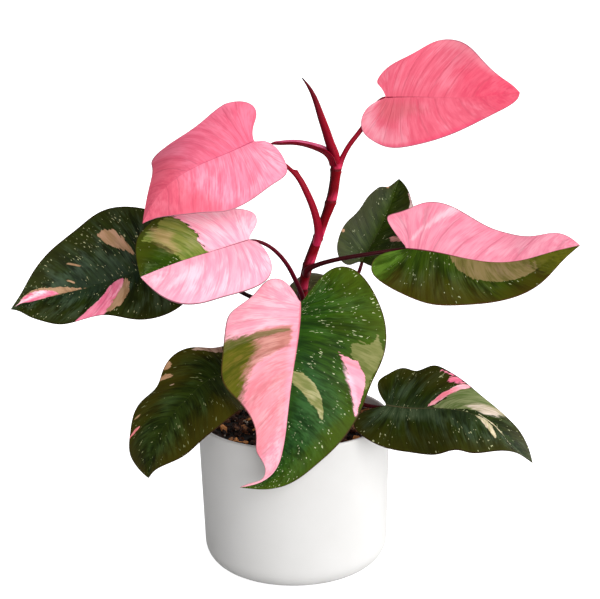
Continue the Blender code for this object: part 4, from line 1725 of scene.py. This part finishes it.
SHEETS = {
    1: Sheet(
        ((-25, -14, 339), (-45, -24, 332), (-75, -37, 321), (-95, -46, 306), (-107, -49, 286)),
        ((-0.35, -0.8, 0.5), (-0.45, -0.75, 0.45)),
        ((0, 1), (-.03, 8), (-.12, 18), (-.15, 28), (-.11, 37), (-.01, 42), (.14, 41), (.34, 38),
         (.44, 41), (.53, 46), (.58, 46), (.65, 33), (.8, 13), (1, 0)),
        ((0, 1), (-.06, 4), (-.1, 12), (-.1, 26), (-.07, 34), (.05, 38), (.21, 41), (.38, 42),
         (.6, 37), (.8, 24), (.93, 7), (1, 0)),
        ((10, 0), (-12, 0), (-20, -5)),
        (-25, -20),
        (0.8, 2.5, 0.1),
    ),
    2: Sheet(
        ((73, 2, 367), (98, -12, 369), (122, -24, 370), (148, -36, 373), (167, -44, 376)),
        ((0.1, -0.95, 0.35), (0.1, -0.95, 0.4)),
        ((0, 1), (-.06, 3), (-.13, 8), (-.17, 17), (-.15, 26), (-.07, 33), (.05, 38), (.21, 38),
         (.43, 32), (.65, 22), (.85, 13), (.95, 8), (.99, 4), (1, 0)),
        ((0, 1), (-.02, 6), (-.07, 11), (-.04, 18), (.06, 26), (.2, 34), (.34, 44), (.5, 44),
         (.62, 38), (.75, 25), (.88, 12), (.96, 5), (1, 0)),
        ((10, 10), (10, 10)),
        (-25, -25),
        (0.8, 2.0, 0.4),
    ),
    3: Sheet(
        ((-30, -26, 267), (-52, -42, 264), (-79, -60, 260), (-99, -70, 255), (-108, -73, 252)),
        ((-0.2, -0.8, 0.6), (-0.3, -0.8, 0.5)),
        ((0, 1), (-.04, 4), (-.13, 10), (-.17, 18), (-.09, 27), (.01, 31), (.3, 40), (.5, 43.5),
         (.59, 45.5), (.72, 42), (.87, 33), (.96, 17), (1, 0)),
        ((0, 1), (-.03, 4), (-.05, 14), (-.03, 26), (.03, 34), (.15, 39), (.31, 40), (.52, 38),
         (.71, 36), (.83, 31), (.92, 21), (.97, 10), (1, 0)),
        ((10, 10), (0, 5)),
        (-25, -25),
        (0.7, 2.5, -0.15),
    ),
    4: Sheet(
        ((-95, 14, 242), (-122, 6, 234), (-164, -3, 224), (-210, -10, 214), (-214, -11, 212)),
        ((-0.15, -0.95, 0.35), (-0.2, -0.95, 0.35)),
        ((0, 1), (-.06, 6), (-.12, 16), (-.11, 30), (-.02, 42), (.1, 51), (.25, 55), (.48, 47),
         (.67, 36), (.82, 19), (.92, 6), (1, 0)),
        ((0, 1), (-.05, 6), (-.1, 18), (-.06, 36), (.04, 45), (.17, 47), (.32, 41), (.47, 29),
         (.6, 28), (.7, 28), (.82, 22), (.91, 14), (.97, 4), (1, 0)),
        ((10, 40), (10, 30)),
        (-20, -25),
        (0.9, 2.5, 0.2),
    ),
    5: Sheet(
        ((7, -50, 225), (5, -67, 206), (0, -82, 178), (-4, -90, 150), (-8, -94, 125),
         (-14, -96, 110), (-24, -97, 102), (-40, -97, 98)),
        ((0, -0.75, 0.65), (-0.05, -1, 0.3), (-0.3, -1, 0.05)),
        ((0, 1), (-.03, 4), (-.07, 9), (-.1, 17), (-.09, 25), (-.02, 34), (.05, 45), (.1, 52),
         (.17, 54), (.33, 53), (.43, 50), (.5, 38), (.58, 26), (.66, 21), (.76, 18), (.82, 10),
         (.88, 2), (.95, 1.5), (1, 0)),
        ((0, 1), (-.04, 5), (-.1, 11), (-.16, 18), (-.2, 30), (-.19, 40), (-.14, 50), (-.06, 59),
         (.04, 66), (.16, 68), (.33, 61), (.47, 56), (.58, 48), (.72, 29), (.83, 13), (.94, 3),
         (1, 0)),
        ((20, 5), (15, 0), (0, 0)),
        (-25, -25),
        (1.0, 2.5, 0.3),
    ),
    6: Sheet(
        ((87, -14, 255), (107, -22, 254), (144, -35, 249), (169, -42, 251), (193, -48, 259),
         (212, -51, 264)),
        ((0.1, -0.85, 0.55), (0.1, -0.8, 0.65)),
        ((0, 1), (-.1, 5), (-.16, 11), (-.17, 20), (-.08, 31), (.06, 38), (.26, 41), (.42, 36),
         (.6, 29), (.77, 19), (.9, 8), (1, 0)),
        ((0, 1), (-.1, 14), (-.14, 24), (-.1, 27), (-.02, 33), (.05, 39), (.13, 41), (.25, 37),
         (.43, 29), (.61, 23), (.78, 16), (.9, 13), (.96, 7), (1, 0)),
        ((10, 10), (0, 0)),
        (-20, -20),
        (0.9, 2.5, 0.6),
    ),
    7: Sheet(
        ((55, 24, 235), (63, 44, 243), (71.5, 65, 251.5), (80, 86, 263.5), (85.5, 99, 273),
         (89.5, 108, 283)),
        ((.1, -.7, .7), (.1, -.75, .6)),
        ((0, 1), (-.04, 6), (-.08, 13), (-.06, 22), (.04, 29), (.23, 32), (.44, 30), (.61, 26),
         (.75, 19), (.86, 13), (.94, 7), (1, 0)),
        ((0, 1), (-.08, 5), (-.16, 11), (-.17, 17), (-.12, 23), (0, 27), (.15, 28), (.3, 26),
         (.46, 24), (.62, 22), (.75, 18), (.83, 14), (.88, 8), (.94, 4), (1, 0)),
        ((38, 38), (38, 38), (30, 30)),
        (-20, -20),
        (0.5, 2.5, 0.0),
    ),
    8: Sheet(
        ((-44, -34, 166), (-62, -46, 165), (-78, -60, 155), (-98, -74, 134), (-108, -80, 100)),
        ((-0.3, -0.75, 0.65), (-0.6, -0.75, 0.4)),
        ((0, 1), (-.06, 5), (-.12, 14), (-.08, 22), (.08, 24), (.22, 34), (.32, 33), (.47, 28),
         (.62, 30), (.77, 26), (.9, 24), (.97, 12), (1, 0)),
        ((0, 1), (-.06, 6), (-.12, 16), (-.08, 28), (.1, 36), (.3, 38), (.5, 36), (.64, 32),
         (.78, 25), (.88, 13), (.95, 4), (1, 0)),
        ((15, 10), (0, 0)),
        (-20, -20),
        (1.8, 3.0, 0.1),
    ),
    9: Sheet(
        ((70, -38, 139), (86, -46, 139), (120, -63, 143), (141, -73, 138), (162, -80, 120),
         (176, -82, 107)),
        ((0.1, -0.7, 0.7), (0.5, -0.6, 0.6)),
        ((0, 1), (-.06, 6), (-.12, 14), (-.12, 26), (-.04, 35), (.1, 40), (.22, 40), (.36, 42.5),
         (.48, 42.5), (.58, 36), (.68, 31), (.78, 17), (.9, 3), (1, 0)),
        ((0, 1), (-.05, 7), (-.08, 16), (-.03, 24), (.05, 32), (.13, 32), (.25, 37.5), (.33, 34),
         (.42, 28), (.52, 22), (.62, 18), (.74, 16), (.85, 16), (.93, 12), (1, 0)),
        ((20, 20), (10, 0), (0, -10)),
        (-20, -20),
        (1.6, 3.0, 0.5),
    ),
    10: Sheet(
        ((13, 26, 198), (15, 44, 209), (16, 66, 214), (16, 88, 210)),
        ((-0.1, -0.3, 0.95), (-0.1, -0.1, 1)),
        ((0, 1), (-.12, 6), (-.17, 14), (-.08, 25), (.15, 35), (.45, 34), (.72, 24), (.9, 9),
         (1, 0)),
        ((0, 1), (-.12, 6), (-.17, 13), (-.08, 18), (.15, 20), (.45, 19), (.72, 14), (.9, 6),
         (1, 0)),
        ((0, 0), (-10, -5)),
        (-50, -60),
        (0.9, 3.0, 0.1),
    ),
}

STALKS = {
    1: Stalk(
        ((20, -1, 256), (20.6, -7, 267.5), (17.8, -8.5, 284), (11.8, -9.5, 300), (5.8, -9, 311),
         (-1, -8, 318), (-12, -9, 328), (-22, -11.5, 336.5)),
        (2.5, 1.3),
    ),
    2: Stalk(
        ((36.5, 0, 313), (40, 0.5, 321.5), (46, 2, 332), (55, 5, 343), (63, 7, 356),
         (71.5, 4.5, 365.5)),
        (2.2, 1.7),
    ),
    3: Stalk(
        ((5.5, -1, 190), (9.2, -7, 202), (9.4, -8.5, 212), (3.8, -10, 230), (-2.6, -14, 244),
         (-9.4, -18, 254), (-19, -22, 262.5), (-28, -24.3, 265.6)),
        (2.2, 1.4),
    ),
    4: Stalk(
        ((3.2, 1, 172), (-2, 6, 191), (-14, 7, 205), (-31, 7, 213.4), (-42, 8, 219), (-62, 11, 229),
         (-82, 14.5, 237), (-93, 16.2, 241)),
        (2.1, 1.3),
    ),
    5: Stalk(
        ((2.4, -1, 156), (2.5, -10, 177), (3.8, -22, 202), (5.5, -36, 218), (7, -47.5, 222.8)),
        (2.5, 1.5),
    ),
    6: Stalk(
        ((11.8, -1, 232), (12.4, -6.5, 237.5), (18, -8, 241), (27, -9, 244.2), (45, -10.5, 248.2),
         (60, -11, 250.5), (72, -10.5, 252), (85.5, -11, 253.4)),
        (2.3, 1.4),
    ),
    7: Stalk(
        ((3, 1, 164), (10, 7, 186), (23, 13, 203), (39, 17, 214), (50, 21, 222.5),
         (54.8, 25.4, 232.4)),
        (2.3, 1.4),
    ),
    8: Stalk(
        ((0.6, -1, 124), (-6, -8, 140), (-17, -17, 154), (-30, -25, 162), (-42, -31.5, 163.8)),
        (2.3, 1.4),
    ),
    9: Stalk(
        ((0.4, -1, 120), (11, -7, 131), (28, -17, 138), (46, -27.5, 138.5), (60, -34, 136.5),
         (68.5, -36.3, 136.6)),
        (2.3, 1.4),
    ),
    10: Stalk(
        ((1.8, 1, 146), (4.5, 9, 163), (9.5, 18, 182), (12.8, 25.5, 195)),
        (2.2, 1.3),
    ),
}

STEM_LINE = (
    (0, 0, 92), (0, 0, 108), (0.6, 0, 130), (2.4, 0, 160), (5.2, 0, 190), (8.2, 0, 215),
    (10.8, 0, 231), (14.2, 0, 242), (20.4, 0, 259), (27, 0, 277), (31, 0, 288), (34.5, 0, 305),
    (36, 0, 319),
)
STEM_RADII = (4.6, 4.7, 4.5, 4.3, 4.1, 3.8, 3.7, 4.2, 3.8, 3.5, 4.1, 3.9, 4.3)

SPIKE_LINE = (
    (35.6, 0, 317), (34.4, -0.5, 325), (32, -1, 332), (28.6, -2, 343), (25, -3, 354),
    (20.4, -4, 368), (16.6, -4.5, 376), (11, -5, 384),
)
SPIKE_RADII = (3.4, 3.5, 3.3, 3.0, 2.6, 1.9, 1.3, 0.4)

SHEATH_MARGIN = (
    (0, 6.5), (.2, 6.2), (.34, 5.2), (.5, 4.2), (.75, 3.5), (.88, 2.9), (.96, 1.7), (1, 0),
)
SHEATH = Sheet(
    ((31, -0.5, 316.5), (29.6, -1, 321.5), (26.6, -1, 325.2), (21, -1, 328.4), (11, -1, 332),
     (1, -0.5, 333.3), (-7, 0, 333.2), (-13.5, 1, 333.8)),
    ((1, 0, 0.5), (0.3, -0.2, 1), (0, -0.1, 1)),
    SHEATH_MARGIN,
    SHEATH_MARGIN,
    ((42, 42), (48, 48), (40, 40)),
    (60, 60),
)

WHOLE_RIGHT = ((-.1, 0), (1.1, 0), (1.1, 1.3), (-.1, 1.3))
WHOLE_LEFT = ((-.1, 0), (1.1, 0), (1.1, -1.3), (-.1, -1.3))

FINISHES = {
    1: LeafFinish(
        (236, 118, 144), (222, 94, 122), (176, 64, 96), MARGIN_PINK, (224, 134, 154),
        (190, 74, 102), line=(196, 150, 168), veins=13, relief=0.2, vein_dark=0.35, band=0.12,
        pale=(242, 156, 178), sheen=0.18,
        patches=(
            # a paler right half and a paler patch near the junction, partly painted sheen
            Patch((240, 134, 158), (228, 108, 134), WHOLE_RIGHT, 0.0, pale=(246, 180, 198),
                  sheen=0.42),
            Patch((240, 152, 174), (234, 134, 158),
                  ((-.1, .45), (.3, .5), (.42, .8), (.3, 1.2), (-.1, 1.2)), 2.0, 6.0, 0.7,
                  (248, 200, 214), 0.55),
            Patch((226, 92, 112), (214, 80, 102),
                  ((.66, -1.2), (.72, -.5), (.8, 0), (.74, .5), (.6, .8), (.5, 1.2), (1.1, 1.2),
                   (1.1, -1.2)), 2.0, 7.0, 0.7),
        ),
    ),
    2: LeafFinish(
        (240, 112, 134), (230, 94, 118), (140, 22, 48), (164, 100, 116), (232, 146, 162),
        (190, 74, 102), line=(190, 120, 140), veins=9, relief=0.12, vein_dark=0.24, band=0.06,
        pale=(248, 150, 168), sheen=0.5, rib_end=0.0, roughness=0.42,
        patches=(
            Patch((222, 108, 118), (206, 92, 102),
                  ((.08, -.05), (.5, -.08), (.6, -.3), (.3, -.5), (.08, -.4)), 3.0, 6.0, 0.6),
            Patch((240, 84, 112), (232, 68, 100),
                  ((.88, -1.2), (.86, -.3), (.78, .2), (.68, .6), (.74, .8), (.88, 1.2), (1.1, 1.2),
                   (1.1, -1.2)), 2.0, 8.0, 0.65),
            Patch((252, 156, 174), (248, 140, 160), ((.0, -.6), (.4, -.7), (.5, -1.1), (.0, -1.2)),
                  2.0, 6.0, 0.8, sheen=0.3),
            Patch((250, 158, 172), (248, 140, 158), ((.45, .86), (.85, .9), (.85, 1.1), (.45, 1.1)),
                  0.8, 3.0, 0.5),
            Patch((150, 24, 52), (128, 16, 42),
                  ((-.02, -.04), (.3, -.012), (.3, .012), (-.02, .03)), 0.0, 0.4, 0.8),
            Patch((240, 84, 120), (232, 70, 106), ((.3, -.93), (.8, -.9), (.8, -1.1), (.3, -1.1)),
                  0.8, 2.0, 0.6),
        ),
    ),
    3: LeafFinish(
        (48, 70, 8), (30, 46, 5), (84, 20, 28), MARGIN_DARK, (180, 126, 126), (110, 44, 54),
        outer=(66, 70, 12), outer_share=0.6, line=(190, 150, 160), veins=12, relief=0.16,
        vein_dark=0.3, band=0.1, flecks=0.05,
        patches=(
            Patch((124, 132, 62), (84, 106, 36),
                  ((.56, -.93), (.58, -.69), (.61, -.51), (.62, -.35), (.67, -.25), (.68, .1),
                   (.83, .1), (.82, -.27), (.8, -.54), (.79, -.7), (.81, -.91), (.76, -.89),
                   (.73, -.93), (.71, -.82), (.66, -.89)), 1.7, 0.25, 1.0, (172, 168, 124), 0.4),
            Patch((176, 150, 108), (150, 128, 80),
                  ((.7, -.9), (.78, -.75), (.8, -.54), (.82, -.27), (.8, -.25), (.76, -.5),
                   (.7, -.6)), 1.2, 3.0, 0.8),
            Patch((244, 178, 194), (238, 152, 174),
                  ((-.1, .1), (-.1, -1.3), (.56, -1.3), (.56, -.93), (.58, -.69), (.61, -.51),
                   (.62, -.35), (.67, -.25), (.68, .1)), 1.7, 0.25, 1.0, (248, 208, 218), 0.7),
            Patch((240, 166, 184), (232, 146, 168), WHOLE_RIGHT, 0.0, pale=(246, 204, 216),
                  sheen=0.7),
        ),
    ),
    4: LeafFinish(
        (32, 45, 10), (14, 22, 5), (34, 40, 18), MARGIN_DARK, (100, 82, 64), (86, 38, 40),
        outer=(44, 46, 8), outer_share=0.55, heart=(44, 62, 46), heart_share=0.5,
        line=(110, 120, 100), veins=12, relief=0.2, vein_dark=0.3, band=0.12, flecks=0.25,
        fleck=(160, 160, 120), pale=(92, 112, 90), sheen=0.35,
        patches=(
            Patch(*TAN,
                  ((.99, -.25), (.95, -.76), (.92, -.69), (.9, -.56), (.86, -.26), (.84, -.23),
                   (.81, -.08), (.76, -.0), (.83, .01), (.89, .09), (.95, .2)), 0.9),
            Patch(*PINK,
                  ((.99, -.25), (.95, -.7), (.92, -.6), (.88, -.25), (.86, 0), (.9, .09),
                   (.95, .2)), 0.9, sheen=1.0),
            Patch(*TAN,
                  ((.58, .05), (.62, .44), (.62, .6), (.63, .92), (.59, .93), (.56, .76),
                   (.545, .49), (.555, .24)), 0.9),
            Patch(*PINK,
                  ((.6, .03), (.64, .07), (.66, .19), (.68, .49), (.7, .68), (.7, 1.02), (.6, 1.02),
                   (.605, .8), (.605, .6), (.6, .4), (.585, .2)), 0.9, sheen=0.6),
            Patch((176, 138, 112), (150, 118, 84),
                  ((.56, -.71), (.56, -.62), (.55, -.52), (.53, -.41), (.455, -.2), (.46, -.39),
                   (.47, -.53), (.47, -.64), (.51, -.72), (.53, -.75)), 1.2),
            Patch(*TAN,
                  ((.715, -.44), (.75, -.65), (.758, -.63), (.724, -.43)), 0.1),
            Patch(*TAN,
                  ((.785, -.18), (.803, -.34), (.81, -.32), (.794, -.17)), 0.1),
        ),
    ),
    5: LeafFinish(
        (44, 76, 9), (24, 44, 5), (214, 120, 134), (60, 34, 22), (132, 96, 74), (136, 54, 64),
        outer=(66, 78, 10), outer_share=0.6, heart=(26, 60, 24), heart_share=0.4,
        line=(120, 130, 90), veins=11, relief=0.2, vein_dark=0.25, band=0.15, flecks=0.3,
        pale=(80, 116, 60), sheen=0.3, rib_end=0.3,
        patches=(
            # a darker teal-green zone near the midrib, partly painted sheen
            Patch((46, 86, 46), (16, 46, 16),
                  ((.58, .1), (.62, .5), (.68, .8), (.85, .6), (.88, .1)), 3.0, 7.0, 0.6),
            Patch((112, 114, 66), (88, 96, 44),
                  ((.47, .57), (.45, .61), (.44, .79), (.41, .88), (.45, .99), (.56, .96),
                   (.6, .95), (.56, .9), (.52, .74), (.51, .63)), 1.3, 0.3, 1.0, (150, 144, 100),
                  0.4),
            Patch((240, 160, 176), (232, 138, 158),
                  ((.51, .46), (.51, .71), (.53, .84), (.56, .92), (.61, .94), (.67, .98),
                   (.64, .87), (.6, .74), (.57, .65), (.57, .71), (.54, .59), (.52, .5)), 0.8),
            Patch((244, 192, 206), (238, 170, 188),
                  ((.54, .56), (.57, .72), (.6, .84), (.66, .98), (.65, .92), (.61, .78),
                   (.58, .66)), 0.8, 2.0),
            Patch((146, 140, 90), (112, 118, 64),
                  ((.64, -.01), (.63, .12), (.65, .29), (.68, .43), (.73, .59), (.74, .57),
                   (.72, .45), (.71, .29), (.69, .13), (.68, 0)), 0.7, 0.3, 1.0, (196, 188, 146),
                  0.6),
            Patch((240, 162, 178), (230, 142, 160), WHOLE_LEFT, 0.0, pale=(246, 196, 206),
                  sheen=0.6),
            Patch((228, 140, 150), (218, 122, 132),
                  ((.53, -.12), (.6, -.9), (.7, -1.2), (.84, -1.2), (.8, -.12)), 1.0, 5.0, 0.8,
                  (238, 170, 176), 0.5),
            Patch((188, 126, 112), (160, 98, 82),
                  ((.41, -.09), (.42, -.5), (.43, -.8), (.41, -1.15), (.64, -1.15), (.6, -.93),
                   (.58, -.7), (.553, -.53), (.54, -.3), (.53, -.09)), 1.5, 2.0, 0.9,
                  (206, 150, 136), 0.5),
            Patch((92, 92, 22), (72, 78, 14),
                  ((.4, -1.15), (.42, -.9), (.44, -.6), (.5, -.5), (.55, -.66), (.6, -.85),
                   (.65, -1.15)), 2.5, 4.0, 1.0, (134, 108, 50), 0.6),
            Patch((108, 106, 58), (84, 88, 40),
                  ((.43, -.1), (.43, -.5), (.42, -.85), (.42, -1.1), (.45, -1.1), (.455, -.8),
                   (.46, -.5), (.452, -.2), (.445, -.1)), 1.1, 0.8, 0.75),
            Patch((230, 132, 148), (214, 108, 128),
                  ((-.02, -.02), (.6, -.018), (.6, .004), (-.02, .016)), 0.0, 0.3, 0.8),
        ),
    ),
    6: LeafFinish(
        (50, 68, 8), (28, 38, 5), (96, 16, 34), (84, 48, 34), (132, 96, 74), (136, 54, 64),
        outer=(68, 54, 8), outer_share=0.6, heart=(58, 90, 18), heart_share=0.35,
        line=(150, 120, 120), veins=8, relief=0.25, vein_dark=0.3, band=0.2, flecks=0.02,
        sheen=0.15,
        patches=(
            Patch((132, 114, 74), (102, 94, 48),
                  ((.55, .06), (.61, -.3), (.67, -.5), (.77, -.6), (.85, -.62), (.9, -.5),
                   (.89, .06)), 1.4, 0.4, 0.95, (150, 124, 96), 0.5),
            Patch((92, 92, 22), (70, 72, 14),
                  ((.87, -.02), (.86, -.5), (.84, -1.2), (1.1, -1.2), (1.1, 0)), 2.0, 1.2, 0.9),
            Patch((96, 136, 44), (56, 88, 18), ((.03, -1.2), (.02, -.3), (.2, -.3), (.24, -1.2)),
                  3.0, 5.0, 0.7),
            Patch((240, 152, 172), (230, 128, 152), WHOLE_RIGHT, 0.0, pale=(248, 190, 204),
                  sheen=0.35),
            # painted highlight: a white-pink sheen strip along a vein
            Patch((250, 206, 216), (242, 176, 192),
                  ((.22, .2), (.35, .5), (.38, .74), (.4, 1.0), (.44, 1.0), (.41, .7), (.37, .44),
                   (.27, .2)), 1.5, 1.5, 0.75),
        ),
    ),
    7: LeafFinish(
        (44, 58, 5), (22, 34, 2), (74, 78, 46), (48, 20, 14), (92, 70, 58), (86, 38, 40),
        outer=(40, 42, 6), outer_share=0.7, heart=(58, 78, 20), heart_share=0.4,
        line=(150, 150, 130), veins=9, relief=0.12, vein_dark=0.2, band=0.08, flecks=0.05,
        sheen=0.15, roughness=0.42,
        patches=(
            Patch(*RED_TAN, ((.89, 1.1), (.92, 1.1), (.91, .9), (.89, .93)), 0.6),
            Patch((220, 190, 184), (196, 150, 148),
                  ((.88, -.95), (.82, -1.1), (.74, -1.1), (.75, -.86), (.8, -.94)), 0.6),
            Patch(*RED_TAN, ((.36, 1.05), (.37, .9), (.34, .9), (.34, 1.05)), 0.6),
            Patch((204, 150, 140), (176, 118, 108),
                  ((.56, -.42), (.49, -.82), (.42, -.86), (.49, -.49)), 1.4),
        ),
    ),
    8: LeafFinish(
        (38, 46, 7), (17, 22, 3), (46, 58, 20), (48, 26, 16), (84, 62, 50), (80, 34, 38),
        outer=(56, 50, 7), outer_share=0.8, heart=(36, 54, 14), heart_share=0.4,
        line=(120, 130, 100), veins=11, relief=0.22, vein_dark=0.25, band=0.12, flecks=0.12,
        fleck=(128, 132, 92), pale=(80, 104, 56), sheen=0.3,
        patches=(
            Patch(*BROWN_TAN,
                  ((.43, -1.1), (.42, -.99), (.44, -.88), (.46, -.9), (.45, -1.1)), 0.9),
            Patch(*BROWN_TAN,
                  ((.5, -1.1), (.48, -.91), (.5, -.74), (.51, -.7), (.505, -.9), (.52, -1.1)), 0.9),
            Patch((196, 170, 150), (150, 112, 84),
                  ((.57, -.66), (.565, -.6), (.58, -.55), (.58, -.62)), 0.5),
            Patch(*BROWN_TAN, ((.72, -.95), (.715, -.87), (.725, -.8), (.73, -.87)), 0.6),
            Patch((226, 130, 130), (196, 96, 100),
                  ((.78, -1.1), (.775, -.88), (.78, -.72), (.795, -.7), (.785, -1.1)), 0.7),
            Patch((176, 148, 132), (136, 104, 88),
                  ((.36, -.85), (.29, -1.1), (.22, -1.1), (.24, -.76), (.36, -.8)), 1.0),
        ),
    ),
    9: LeafFinish(
        (38, 50, 9), (20, 28, 5), (88, 78, 56), (42, 18, 12), (96, 78, 60), (86, 38, 40),
        outer=(48, 46, 7), outer_share=0.7, heart=(50, 66, 46), heart_share=0.3,
        line=(120, 120, 100), veins=11, relief=0.22, vein_dark=0.25, band=0.12, flecks=0.1,
        fleck=(168, 170, 128), pale=(88, 108, 84), sheen=0.3,
        patches=(
            # painted sheen: a grey-green strip along the midrib
            Patch((84, 98, 72), (54, 72, 44),
                  ((.02, .0), (.5, .0), (.66, -.0), (.6, -.22), (.3, -.3), (.05, -.2)), 1.5, 4.0,
                  0.6),
            Patch((126, 132, 90), (84, 100, 52),
                  ((.6, .02), (.62, .36), (.58, .62), (.58, .8), (.57, 1.1), (.65, 1.1),
                   (.74, .89), (.77, .91), (.8, .29), (.76, .22), (.7, .0)), 1.0),
            Patch((184, 172, 146), (150, 140, 104),
                  ((.72, .26), (.7, .83), (.72, 1.1), (.74, 1.1), (.8, .58), (.8, .24)), 1.2,
                  1.4, 0.9, (226, 206, 194), 0.8),
            Patch(*PINK,
                  ((.41, .93), (.46, .97), (.51, 1.1), (.49, .96), (.45, .93)), 0.7),
            Patch((240, 146, 160), PINK_DEEP,
                  ((.52, .79), (.5, .88), (.51, 1.1), (.54, 1.1), (.54, .88)), 1.2, sheen=0.5),
            Patch((240, 160, 168), (226, 118, 136),
                  ((.57, .04), (.57, .2), (.57, .56), (.55, .94), (.57, 1.1), (.585, .73),
                   (.605, .35), (.6, .14)), 1.1, sheen=0.8),
            Patch((204, 192, 162), (150, 140, 96),
                  ((.79, .02), (.83, .05), (.855, -.04), (.865, -.45), (.855, -.6), (.84, -.42),
                   (.82, -.17)), 0.5, sheen=0.4),
            Patch((214, 202, 168), (180, 168, 126),
                  ((.79, .1), (.82, .07), (.86, .06), (.9, 0), (.92, -.38), (.92, -.3), (.9, .03),
                   (.86, .1), (.82, .1), (.79, .14)), 0.3),
        ),
    ),
    10: LeafFinish(
        (82, 78, 44), (58, 54, 28), (84, 72, 50), (34, 18, 14), (92, 74, 58), (86, 38, 40),
        veins=9, relief=0.2, vein_dark=0.2, band=0.1, flecks=0.1, sheen=0.1, roughness=0.45,
    ),
}

CRIMSON = StalkFinish((146, 8, 34), (80, 2, 14), (184, 36, 74), (130, 16, 42))
MAROON = StalkFinish((98, 10, 30), (46, 4, 12), (124, 10, 34), (84, 18, 34))
BROWN_RED = StalkFinish((56, 8, 14), (28, 3, 6), (92, 12, 24), (62, 12, 20))
NEAR_BLACK = StalkFinish((36, 7, 12), (18, 4, 6), (70, 12, 22), (34, 10, 14))

STALK_FINISHES = {
    1: CRIMSON, 2: CRIMSON, 3: MAROON, 4: NEAR_BLACK, 5: MAROON, 6: BROWN_RED, 7: MAROON,
    8: BROWN_RED, 9: BROWN_RED, 10: MAROON,
}

SLOTS = {
    1: Slot.PINK, 2: Slot.PINK, 3: Slot.HALF_PINK, 4: Slot.GREEN, 5: Slot.HALF_PINK,
    6: Slot.HALF_PINK, 7: Slot.GREEN, 8: Slot.GREEN, 9: Slot.GREEN, 10: Slot.OLIVE,
}

OPEN_SHEATHS = {1: 63.0}
SEED_STEP = 1.7


def main() -> None:
    """Builds the dressed plant piece by piece."""
    logging.basicConfig(level=logging.INFO, format="%(name)s: %(message)s")
    effects = Effects()
    Studio().build()
    Pot(effects).build()
    Soil(effects).build()
    Stem("stem", STEM_LINE, STEM_RADII, (1, 0, 0), rows=320, around=40).build(effects)
    Spike("new_leaf_spike", SPIKE_LINE, SPIKE_RADII, (1, 0, 0), rows=110, around=32).build(effects)
    Cataphyll(SHEATH, effects).build()
    for number, sheet in SHEETS.items():
        Leaf(
            f"leaf_{number:02d}", sheet, STALKS[number], FINISHES[number],
            STALK_FINISHES[number], SLOTS[number], effects, seed=SEED_STEP * number,
            sheath=OPEN_SHEATHS.get(number, 0.0),
        ).build()
    only()
    log.info("sizes written")


if __name__ == "__main__":
    main()
